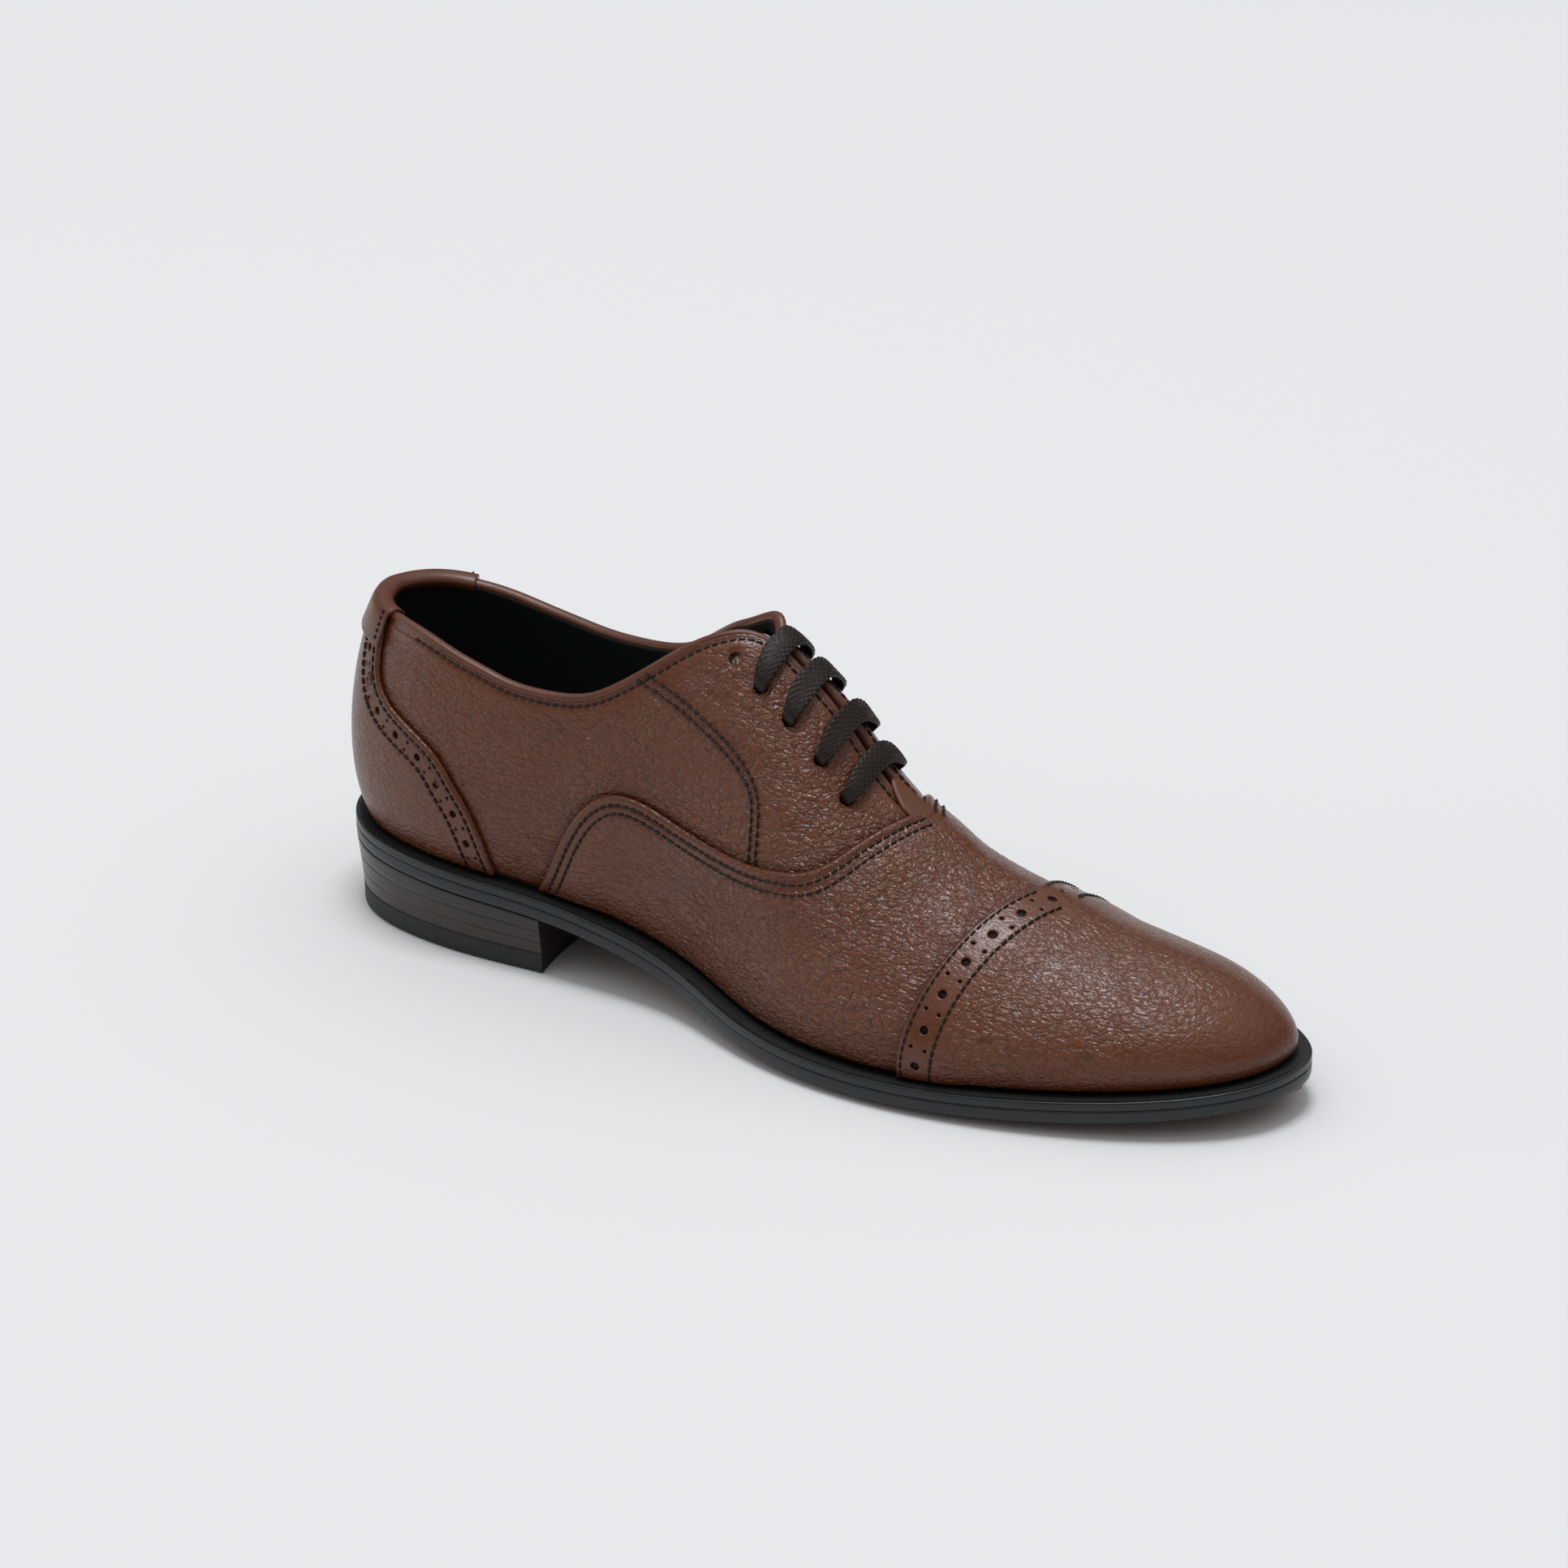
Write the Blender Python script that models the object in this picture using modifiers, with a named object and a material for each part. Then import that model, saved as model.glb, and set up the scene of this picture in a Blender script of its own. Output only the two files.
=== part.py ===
"""Leather cap-toe oxford shoe, right foot, built as an assembly of separate pieces.

Frame: +X to the toe, +Y to the medial side, +Z up, the ground at Z = 0. Lengths are in millimetres until
a mesh is made, and MM turns them into metres. The upper is drawn on a last: a point of the last is given
by its side (-1 lateral, +1 medial), u from the heel's back (0) to the toe's tip (1) and t from the feather
edge (0) to the ridge (1). Each layer of leather is a patch of the last, moved out or in along its normal.
"""

import math

import bmesh
import bpy
import numpy as np
from mathutils import Matrix, Vector

MM = 0.001
OBJECT_NAME = "leather_oxford_shoe"
LATERAL = -1
MEDIAL = 1
SIDES = {"lateral": LATERAL, "medial": MEDIAL}

# Overall size. The last's tables are drawn at these sizes and stretched when one is changed.
LAST_LENGTH = 296.0
BALL_WIDTH = 89.4
UPPER_HEIGHT = 120.0
DRAWN_LENGTH = 296.0
DRAWN_BALL_WIDTH = 89.4
DRAWN_UPPER_HEIGHT = 120.0

# Sole and heel.
LEDGE = 5.6
HEEL_LEDGE = 4.6
WELT_THICKNESS = 2.2
OUTSOLE_THICKNESS = 3.8
SOLE_CROWN = 1.4
INSOLE_THICKNESS = 2.0
SOCK_THICKNESS = 1.4
HEEL_LENGTH = 77.0
HEEL_LIFTS = 3
HEEL_TAPER = 1.6
BREAST_HOLLOW = 4.0
TOP_PIECE_THICKNESS = 6.0
WELT_INSIDE = -4.0
SHANK_WIDTH = 13.0
SHANK_THICKNESS = 1.4
SHANK_SHORT = 27.0
SHANK_FRONT = 146.0
FILLER_FROM = 152.0
FILLER_TO = 287.0
SEAT_FILLER_SHORT = 31.0
NAIL_RADIUS = 1.3
HEEL_NAILS = ((14.0, 0.0), (30.0, -17.0), (30.0, 17.0), (58.0, -18.0), (58.0, 18.0))

# Leather and layers. A layer's place is the distance of its outer face from the last's surface.
GAP = 0.45
UPPER_LEATHER = 1.2
LINING = 0.9
STIFFENER = 0.8
BEAD_RADIUS = 1.5
FEATHER_LIFT = 1.2
LAP = 5.0
LAP_RUN_OUT = 8.0
LAP_SLOPE = 8.0
CAP_LAP_U = 0.028

# Heel tab: how far it comes down outside and inside, and where it ends.
TAB_LEATHER = 0.9
TAB_OUTSIDE = 10.0
TAB_INSIDE = 7.0
TAB_END_U = 0.094

# Tongue: an arc across the instep, and its drop below the quarter's lining at stations of u.
TONGUE_LEATHER = 1.2
TONGUE_TOP_U = 0.42
TONGUE_HINGE_U = 0.606
TONGUE_RADIUS = 14.0
TONGUE_HALF_WIDTH = 9.5
TONGUE_DROP_U = [0.42, 0.56, TONGUE_HINGE_U]
TONGUE_DROP = [10.4, 9.4, 2.7]

# Facings, eyelets and lace.
FACING_GAP = 2.4
EYELET_HOLE_RADIUS = 1.95
EYELET_RADIUS = 2.5
LACE_RADIUS = 0.9
LACE_OVER = 1.9
LACE_SIDESTEP = 0.075
LACE_POINTS = 84
LACE_BEND_WEIGHT = 14.0
AGLET_LENGTH = 20.0
AGLET_RADIUS = 1.3
AGLET_CLEARANCE = 0.5

length_scale = LAST_LENGTH / DRAWN_LENGTH
width_scale = BALL_WIDTH / DRAWN_BALL_WIDTH
height_scale = UPPER_HEIGHT / DRAWN_UPPER_HEIGHT

quarter_face = 0.0
stiffener_face = quarter_face - UPPER_LEATHER - GAP
lining_face = stiffener_face - STIFFENER - GAP
lining_inside = lining_face - LINING
lapped_face = quarter_face + GAP + UPPER_LEATHER
tread_height = WELT_THICKNESS + GAP + OUTSOLE_THICKNESS + SOLE_CROWN
lace_under = lining_inside - 1.6
lace_wall = lining_inside - 2.6
filler_grow = WELT_INSIDE - GAP
insole_grow = lining_inside - 1.6
sock_grow = insole_grow - 0.8


class Spline:
    """A natural cubic spline, or one whose end slopes are zero."""

    def __init__(self, xs, ys, flat_ends=False):
        self.xs = np.array(xs, float)
        self.ys = np.array(ys, float)
        n = len(xs)
        h = np.diff(self.xs)
        rise = np.diff(self.ys) / h
        matrix = np.zeros((n, n))
        right = np.zeros(n)
        for i in range(1, n - 1):
            matrix[i, i - 1 : i + 2] = h[i - 1], 2 * (h[i - 1] + h[i]), h[i]
            right[i] = 6 * (rise[i] - rise[i - 1])
        matrix[0, 0] = matrix[-1, -1] = 1.0
        if flat_ends:
            matrix[0, :2] = 2 * h[0], h[0]
            matrix[-1, -2:] = h[-1], 2 * h[-1]
            right[0] = 6 * rise[0]
            right[-1] = -6 * rise[-1]
        self.bend = np.linalg.solve(matrix, right)

    def __call__(self, x):
        x = np.asarray(x, float)
        i = np.clip(np.searchsorted(self.xs, x) - 1, 0, len(self.xs) - 2)
        h = self.xs[i + 1] - self.xs[i]
        a = (self.xs[i + 1] - x) / h
        b = (x - self.xs[i]) / h
        curve = (a**3 - a) * self.bend[i] + (b**3 - b) * self.bend[i + 1]
        return a * self.ys[i] + b * self.ys[i + 1] + curve * h * h / 6


# The last, drawn on stations along the shoe: half widths, and the rises of its bottom edge and its ridge
# above its lowest point, which the sole's layers lift off the ground.
STATIONS = np.array([1.5, 4.5, 13, 30, 50, 75, 100, 125, 150, 175, 200, 225, 245, 262, 277, 288, 294, 296])
LATERAL_HALF = np.array(
    [0, 11, 20.6, 27.2, 29.4, 28.4, 28, 30.5, 39.6, 46, 46.9, 43.4, 37.8, 30.9, 22.6, 13.6, 4.8, -6]
)
MEDIAL_HALF = np.array(
    [0, 11.5, 20.8, 27, 28.6, 27.8, 25.5, 25, 29.5, 36.5, 41.5, 42.5, 39.5, 34.5, 27.5, 19.5, 12.5, 6]
)
FEATHER_STATIONS = [0, 40, 75, 110, 145, 180, 215, 250, 280, 300]
FEATHER_RISE = [20.0, 18.0, 16.1, 10.6, 3.1, 0.3, 0.5, 2.5, 4.9, 7.1]
RIDGE_STATIONS = [0, 30, 60, 95, 125, 139, 150, 158, 167, 176, 188, 205, 225, 245, 262, 280, 300]
RIDGE_RISE = [112, 113, 112, 109, 103, 97, 89, 82, 71.3, 62, 53.8, 46, 40.2, 35.2, 32, 29.6, 24.8]
# Shape of the ribs: side bulge in mm, how upright the wall is, and how full the top is.
RIB_STATIONS = [0, 0.1, 0.25, 0.4, 0.5, 0.6, 0.7, 0.85, 1]
RIB_BULGE = {
    LATERAL: [13, 10, 6, 4, 4, 5, 6, 7, 6],
    MEDIAL: [13, 9, 6, 4, 4, 4.9, 4.2, 5.7, 6],
}
RIB_WALL = [0.22, 0.26, 0.3, 0.36, 0.4, 0.42, 0.45, 0.5, 0.5]
RIB_TOP = {
    LATERAL: [0.9, 0.95, 0.85, 0.62, 0.45, 0.45, 0.5, 0.55, 0.6],
    MEDIAL: [0.9, 0.66, 0.7, 0.6, 0.42, 0.27, 0.17, 0.32, 0.6],
}
HEEL_FAN = 36.0
TOE_FAN = 262.0
FAN_SOFTNESS = 6.0
RIDGE_DRIFT_FROM = 180.0
RIDGE_DRIFT = 1.0 / 60.0

steps = np.hypot(np.diff(STATIONS), np.diff(LATERAL_HALF))
ALONG = np.concatenate([[0.0], np.cumsum(steps)]) / steps.sum()
outline_x = Spline(ALONG, STATIONS, flat_ends=True)
outline_half = {LATERAL: Spline(ALONG, LATERAL_HALF), MEDIAL: Spline(ALONG, MEDIAL_HALF)}
feather_rise = Spline(FEATHER_STATIONS, FEATHER_RISE)
ridge_rise = Spline(RIDGE_STATIONS, RIDGE_RISE)
rib_bulge = {side: Spline(RIB_STATIONS, RIB_BULGE[side]) for side in RIB_BULGE}
rib_wall = Spline(RIB_STATIONS, RIB_WALL)
rib_top = {side: Spline(RIB_STATIONS, RIB_TOP[side]) for side in RIB_TOP}


def feather(side, u, grow=0.0):
    """Plan of the last's bottom edge at u, moved outward by grow."""
    step = 1e-4
    u = np.asarray(u, float)
    before = np.clip(u - step, 0, 1)
    after = np.clip(u + step, 0, 1)
    dx = (outline_x(after) - outline_x(before)) * length_scale
    dy = side * (outline_half[side](after) - outline_half[side](before)) * width_scale
    size = np.hypot(dx, dy)
    x = outline_x(u) * length_scale - side * dy / size * grow
    y = side * outline_half[side](u) * width_scale + side * dx / size * grow
    return x, y


def feather_z(x):
    return tread_height + feather_rise(np.clip(x / length_scale, 0, FEATHER_STATIONS[-1]))


def last_point(side, u, t):
    """A point of the last's surface, in millimetres."""
    u, t = np.broadcast_arrays(np.asarray(u, float), np.asarray(t, float))
    x = outline_x(u)
    y = side * outline_half[side](u)
    middle = HEEL_FAN + FAN_SOFTNESS * np.logaddexp(0, (x - HEEL_FAN) / FAN_SOFTNESS)
    middle = TOE_FAN - FAN_SOFTNESS * np.logaddexp(0, (TOE_FAN - middle) / FAN_SOFTNESS)
    ridge_y = np.maximum(middle - RIDGE_DRIFT_FROM, 0) * RIDGE_DRIFT
    reach = np.hypot(x - middle, y - ridge_y)
    s = 1 - t
    wall = s**3 * reach + 3 * s**2 * t * (reach + rib_bulge[side](u))
    along = wall + 3 * s * t**2 * rib_top[side](u) * reach
    rise = 3 * s**2 * t * rib_wall(u) + 3 * s * t**2 + t**3
    px = middle + (x - middle) / reach * along
    py = ridge_y + (y - ridge_y) / reach * along
    low = tread_height + feather_rise(x) + FEATHER_LIFT
    high = tread_height + ridge_rise(px) * height_scale
    pz = low + (high - low) * rise
    return np.stack([px * length_scale, py * width_scale, pz], -1)


def last_normal(side, u, t):
    """Outward unit normal of the last."""
    step = 1e-3
    u = np.asarray(u, float)
    t = np.clip(np.asarray(t, float), 0, 0.994)
    along = last_point(side, np.clip(u + step, 0, 1), t) - last_point(side, np.clip(u - step, 0, 1), t)
    up = last_point(side, u, t + step) - last_point(side, u, t - step)
    normal = np.cross(along, up) * -side
    return normal / np.linalg.norm(normal, axis=-1, keepdims=True)


def leather_point(side, u, t, out):
    """A point out from the last's surface along its normal; on the ridge it stays in the middle."""
    return last_point(side, u, t) + last_normal(side, u, t) * np.asarray(out, float)[..., None]


def u_at(x):
    """u where the outline reaches x millimetres from the last's back."""
    u = np.linspace(0, 1, 2001)
    return float(np.interp(x / length_scale, outline_x(u), u))


# Lines drawn on the last: t against u. The medial topline is lower at the heel and peaks further forward.
VAMP_SEAM_U = [
    0.262, 0.274, 0.287, 0.302, 0.32, 0.341, 0.365, 0.4, 0.437, 0.475, 0.51, 0.539, 0.561, 0.576, 0.589, 0.6
]
VAMP_SEAM_T = [
    0.0, 0.08, 0.17, 0.248, 0.303, 0.332, 0.338, 0.328, 0.329, 0.351, 0.393, 0.462, 0.57, 0.701, 0.84, 1.0
]
TOPLINE_U = {
    LATERAL: [0, 0.05, 0.09, 0.136, 0.175, 0.209, 0.241, 0.287, 0.317, 0.35, 0.381, 0.403, 0.418, 0.428],
    MEDIAL: [0, 0.05, 0.09, 0.136, 0.175, 0.209, 0.241, 0.287, 0.325, 0.36, 0.392, 0.416, 0.432, 0.442],
}
TOPLINE_T = {
    LATERAL: [0.61, 0.608, 0.604, 0.588, 0.56, 0.536, 0.518, 0.524, 0.559, 0.639, 0.745, 0.83, 0.888, 0.925],
    MEDIAL: [0.61, 0.593, 0.575, 0.553, 0.53, 0.514, 0.506, 0.52, 0.56, 0.645, 0.755, 0.84, 0.895, 0.93],
}
TOPLINE_RUN = 0.032
FOXING_U = [0.086, 0.094, 0.1, 0.116, 0.141, 0.166, 0.182, 0.197, 0.209, 0.219]
FOXING_T = [0.62, 0.47, 0.43, 0.39, 0.352, 0.309, 0.255, 0.195, 0.114, 0.0]
FOXING_START_U = 0.09
FACING_SEAM_U = [0.349, 0.415, 0.455, 0.479, 0.49, 0.496]
FACING_SEAM_T = [0.633, 0.587, 0.561, 0.533, 0.476, 0.37]
EYELET_U = [0.431, 0.461, 0.493, 0.527, 0.554]
EYELET_T = [0.79, 0.765, 0.757, 0.757, 0.757]
THROAT_U = 0.6
FACING_FOOT_U = 0.578
STAY_START_U = 0.368
STAY_END_U = 0.562
STAY_LOWEST_T = 0.62
EDGE_END_U = 0.584
LINING_START_U = 0.59
BACK_SEAM_U = 0.003
CAP_REAR_LATERAL = 204.0
CAP_REAR_RIDGE = 221.0
CAP_REAR_MEDIAL = 214.0

# The shared stations of the panels, with one more at the foxing's front, and three round the throat.
ROWS = np.sort(np.append(np.linspace(0, 1, 33), 0.203))
THROAT_ROWS = (0.571, FACING_FOOT_U, 0.586)
VAMP_FRONT_SHARES = (0.14, 0.34, 0.56, 0.78, 1.0)
CAP_SHARES = (0, 0.1, 0.2, 0.31, 0.42, 0.53, 0.63, 0.72, 0.8, 0.87, 0.94, 1)
FINE_U = np.linspace(0, 1, 2001)
SEAM_U = np.linspace(VAMP_SEAM_U[0], VAMP_SEAM_U[-1], 120)
SEAM_T = np.interp(SEAM_U, VAMP_SEAM_U, VAMP_SEAM_T)


def vamp_seam(side, u):
    """The top of the vamp, which is the same on both sides."""
    return float(np.interp(u, VAMP_SEAM_U, VAMP_SEAM_T))


def surface_stretch(side, u, t):
    """Millimetres of surface for each unit of u and of t."""
    step = 1e-3
    du = last_point(side, min(u + step, 1), t) - last_point(side, max(u - step, 0), t)
    dt = last_point(side, u, min(t + step, 1)) - last_point(side, u, t - step)
    return np.linalg.norm(du) / (2 * step), np.linalg.norm(dt) / (min(t + step, 1) - t + step)


def facing_edge_t(side, u, from_middle):
    """t where the surface is from_middle away from the shoe's middle line."""
    t = np.linspace(0.6, 1, 401)
    points = last_point(side, u, t)
    reach = np.linalg.norm(points[:, :2] - points[-1, :2], axis=1)
    return float(np.interp(-from_middle, -reach, t))


def topline(side, u, inset=0.0):
    """The upper's edge: the topline to the facing's top corner, then the facing's front edge."""
    front = facing_edge_t(side, u, FACING_GAP / 2 + inset)
    line_u = TOPLINE_U[side] + [TOPLINE_U[side][-1] + TOPLINE_RUN]
    line_t = TOPLINE_T[side] + [1.0]
    if u >= line_u[-1] - 0.002:
        return front
    step = 2e-3
    here = float(np.interp(u, line_u, line_t))
    ahead = float(np.interp(u + step, line_u, line_t))
    stretch_u, stretch_t = surface_stretch(side, u, min(here, 0.98))
    slope = (ahead - here) * stretch_t / (step * stretch_u)
    return min(here - inset * math.hypot(1, slope) / stretch_t, front)


def cap_seam_station(side, t):
    """Station of the toe cap's rear edge, at the drawn length: it sweeps forward to the ridge."""
    side_end = CAP_REAR_LATERAL if side == LATERAL else CAP_REAR_MEDIAL
    return side_end + (CAP_REAR_RIDGE - side_end) * t**1.6


collection = None


def clear_scene():
    for obj in list(bpy.data.objects):
        bpy.data.objects.remove(obj, do_unlink=True)


def new_collection(name):
    made = bpy.data.collections.new(name)
    bpy.context.scene.collection.children.link(made)
    return made


MATERIALS = {
    "brown_leather": ((0.105, 0.032, 0.016), 0.42, 0.0),
    "edge_leather": ((0.085, 0.026, 0.013), 0.45, 0.0),
    "black_lining": ((0.012, 0.013, 0.014), 0.75, 0.0),
    "stiffener_board": ((0.35, 0.28, 0.2), 0.8, 0.0),
    "black_sole": ((0.016, 0.016, 0.017), 0.55, 0.0),
    "stacked_heel": ((0.045, 0.012, 0.01), 0.5, 0.0),
    "cork": ((0.42, 0.27, 0.15), 0.9, 0.0),
    "steel": ((0.55, 0.55, 0.56), 0.35, 1.0),
    "lace_cotton": ((0.03, 0.02, 0.016), 0.7, 0.0),
    "aglet_plastic": ((0.02, 0.014, 0.012), 0.3, 0.0),
}


def material(name):
    made = bpy.data.materials.get(name)
    if made:
        return made
    made = bpy.data.materials.new(name)
    made.use_nodes = True
    shader = made.node_tree.nodes["Principled BSDF"]
    color, roughness, metallic = MATERIALS[name]
    shader.inputs["Base Color"].default_value = (*color, 1)
    shader.inputs["Roughness"].default_value = roughness
    shader.inputs["Metallic"].default_value = metallic
    return made


def add_object(name, mesh, material_name, parent=None):
    obj = bpy.data.objects.new(name, mesh)
    collection.objects.link(obj)
    mesh.materials.append(material(material_name))
    mesh.shade_smooth()
    mesh.set_sharp_from_angle(angle=math.radians(40))
    obj.parent = parent
    return obj


def add_empty(name, place, parent=None):
    """An empty at a place of the drawn frame, in millimetres."""
    empty = bpy.data.objects.new(name, None)
    collection.objects.link(empty)
    empty.parent = parent
    empty.location = Vector(place) * MM
    return empty


def mesh_from(name, bm, merge=0.02):
    """Finishes a bmesh drawn in millimetres as a mesh in metres."""
    bmesh.ops.remove_doubles(bm, verts=bm.verts, dist=merge)
    bmesh.ops.dissolve_degenerate(bm, edges=bm.edges, dist=1e-4)
    bmesh.ops.scale(bm, vec=(MM, MM, MM), verts=bm.verts)
    mesh = bpy.data.meshes.new(name)
    bm.to_mesh(mesh)
    bm.free()
    return mesh


def add_grid(bm, rows, flip):
    """Adds the faces between rows of points, which all have the same length."""
    verts = [[bm.verts.new(p) for p in row] for row in rows]
    for low, high in zip(verts, verts[1:]):
        for a, b, c, d in zip(low, low[1:], high[1:], high):
            bm.faces.new((a, d, c, b) if flip else (a, b, c, d))
    return verts


def patch_rows(side, stations, low, high, out, columns, place):
    """Rows of points across a patch of the last. A station is a value of u, or a function giving u for t."""
    rows = []
    shares = np.linspace(0, 1, columns + 1)
    for station in stations:
        if callable(station):
            t = shares
            u = station(side, t)
        else:
            bottom = low(side, station)
            t = bottom + (max(high(side, station), bottom) - bottom) * shares
            u = np.full_like(t, station)
        offsets = np.array([out(side, *spot) for spot in zip(u, t)])
        rows.append(place(side, u, t, offsets))
    return rows


def add_panel(name, sides, stations, low, high, face, thickness, columns, material_name, parent,
              place=leather_point):
    """A leather panel: patches on one or both sides of the last, joined where they meet, with Solidify."""
    bm = bmesh.new()
    for side in sides:
        offset = face if callable(face) else lambda s, u, t: face
        add_grid(bm, patch_rows(side, stations, low, high, offset, columns, place), flip=side == LATERAL)
    mesh = mesh_from(name, bm, merge=0.3)
    obj = add_object(name, mesh, material_name, parent)
    solid = obj.modifiers.new("leather_thickness", "SOLIDIFY")
    solid.thickness = thickness * MM
    solid.offset = -1
    return obj


def stations_between(first, last, extra=()):
    """The shared stations inside a span of u, with its two ends and any extra ones."""
    inside = [float(u) for u in ROWS if first + 0.006 < u < last - 0.006]
    return sorted({first, *inside, *extra, last})


def feather_edge(side, u):
    return 0.0


def ridge_edge(side, u):
    return 1.0


def panel_top(side, u):
    return topline(side, u, 2 * BEAD_RADIUS + GAP)


def seam_distance(side, u, t):
    """How far a place on the last is from the vamp's seam."""
    stretch_u, stretch_t = surface_stretch(side, u, min(t, 0.95))
    return float(np.hypot((SEAM_U - u) * stretch_u, (SEAM_T - t) * stretch_t).min())


def quarter_bottom(side, u):
    """The quarter runs down to the feather, and ahead of the vamp's wing it ends under the vamp."""
    if u <= VAMP_SEAM_U[0] + 0.02:
        return 0.0
    tries = np.linspace(vamp_seam(side, u), 0, 40)
    inside = [t for t in tries if seam_distance(side, u, t) <= LAP]
    return min(min(inside), panel_top(side, u))


def lapped_over(distance):
    """Outer face of a panel that laps over another and comes down beyond it."""
    down = min(max((distance - LAP - LAP_RUN_OUT) / LAP_SLOPE, 0.0), 1.0)
    return lapped_face + (quarter_face - lapped_face) * down * down * (3 - 2 * down)


def vamp_face(side, u, t):
    """The vamp lies over the quarters along its seam and on the lining ahead of them."""
    return lapped_over(seam_distance(side, u, t))


def cap_rear(side, t):
    """u of the toe cap's rear edge."""
    return np.interp(cap_seam_station(side, t), outline_x(FINE_U), FINE_U)


def vamp_stations():
    """Stations of u along the wing, then rows that turn to the line where the vamp ends under the toe cap."""
    wing = stations_between(VAMP_SEAM_U[0], THROAT_U, THROAT_ROWS)
    front = [lambda side, t, share=share: THROAT_U + share * (cap_rear(side, t) + CAP_LAP_U - THROAT_U)
             for share in VAMP_FRONT_SHARES]
    return wing + front


def cap_stations():
    return [lambda side, t, share=share: cap_rear(side, t) + share * (1 - cap_rear(side, t))
            for share in CAP_SHARES]


def cap_face(side, u, t):
    """The toe cap lies over the vamp's end and comes down beyond it."""
    ahead = last_point(side, u, t)[0] - last_point(side, float(cap_rear(side, t)), t)[0]
    return lapped_over(ahead)


def foxing_top(side, u):
    """The foxing ends in a narrow strip up the heel's back."""
    return float(np.interp(u, FOXING_U, FOXING_T)) if u > FOXING_START_U else panel_top(side, u)


def stiffener_top(side, u):
    return 0.44 - 0.6 * max(u - 0.1, 0)


def lining_top(side, u):
    return topline(side, u, 2 * BEAD_RADIUS + GAP + 0.4)


def stay_top(side, u):
    return topline(side, u, 2 * BEAD_RADIUS + GAP + 1.5)


def stay_bottom(side, u):
    return max(float(np.interp(u, FACING_SEAM_U, FACING_SEAM_T)), STAY_LOWEST_T)


def build_upper(parent):
    both = (LATERAL, MEDIAL)
    for word, side in SIDES.items():
        add_panel(f"quarter_{word}", (side,), stations_between(BACK_SEAM_U, FACING_FOOT_U, THROAT_ROWS[:1]),
                  quarter_bottom, panel_top, quarter_face, UPPER_LEATHER, 9, "brown_leather", parent)
        add_panel(f"quarter_lining_{word}", (side,), stations_between(BACK_SEAM_U, FACING_FOOT_U),
                  feather_edge, lining_top, lining_face, LINING, 9, "black_lining", parent)
        add_panel(f"facing_stay_{word}", (side,), stations_between(STAY_START_U, STAY_END_U),
                  stay_bottom, stay_top, stiffener_face, STIFFENER, 5, "stiffener_board", parent)
    add_panel("heel_stiffener", both, stations_between(0.0, 0.22), feather_edge, stiffener_top,
              stiffener_face, STIFFENER, 5, "stiffener_board", parent)
    add_panel("heel_foxing", both, stations_between(0.0, FOXING_U[-1]), feather_edge, foxing_top,
              lapped_face, UPPER_LEATHER, 9, "brown_leather", parent)
    add_panel("vamp", both, vamp_stations(), feather_edge, vamp_seam, vamp_face, UPPER_LEATHER, 9,
              "brown_leather", parent)
    add_panel("toe_cap", both, cap_stations(), feather_edge, ridge_edge, cap_face, UPPER_LEATHER, 9,
              "brown_leather", parent)
    add_panel("toe_puff", both, stations_between(0.76, 1.0), feather_edge, ridge_edge, stiffener_face,
              STIFFENER, 7, "stiffener_board", parent)
    add_panel("vamp_lining", both, stations_between(LINING_START_U, 1.0), feather_edge, ridge_edge,
              lining_face, LINING, 8, "black_lining", parent)


def add_sweep(name, centres, outs, ups, profile, material_name, parent=None):
    """A closed profile, drawn as (out, up) pairs, carried along a path of centres with its ends filled."""
    bm = bmesh.new()
    rings = []
    for centre, out, up in zip(centres, outs, ups):
        rings.append([bm.verts.new(centre + out * a + up * b) for a, b in profile])
    for ring, after in zip(rings, rings[1:]):
        for i in range(len(profile)):
            j = (i + 1) % len(profile)
            bm.faces.new((ring[i], ring[j], after[j], after[i]))
    bm.faces.new(list(reversed(rings[0])))
    bm.faces.new(rings[-1])
    bmesh.ops.recalc_face_normals(bm, faces=bm.faces)
    return add_object(name, mesh_from(name, bm, merge=1e-4), material_name, parent)


def edge_path(last, inset, offset):
    """The upper's edge from u = last on the lateral side, round the heel, to u = last on the medial side."""
    stations = stations_between(0.0, last)
    places = [(LATERAL, u) for u in reversed(stations)] + [(MEDIAL, u) for u in stations[1:]]
    centres = np.array([leather_point(side, u, topline(side, u, inset), offset) for side, u in places])
    normals = np.array([last_normal(side, u, topline(side, u, inset)) for side, u in places])
    tangents = np.gradient(centres, axis=0)
    tangents /= np.linalg.norm(tangents, axis=1, keepdims=True)
    outs = normals - tangents * (normals * tangents).sum(axis=1, keepdims=True)
    outs /= np.linalg.norm(outs, axis=1, keepdims=True)
    return centres, outs, np.cross(tangents, outs)


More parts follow.
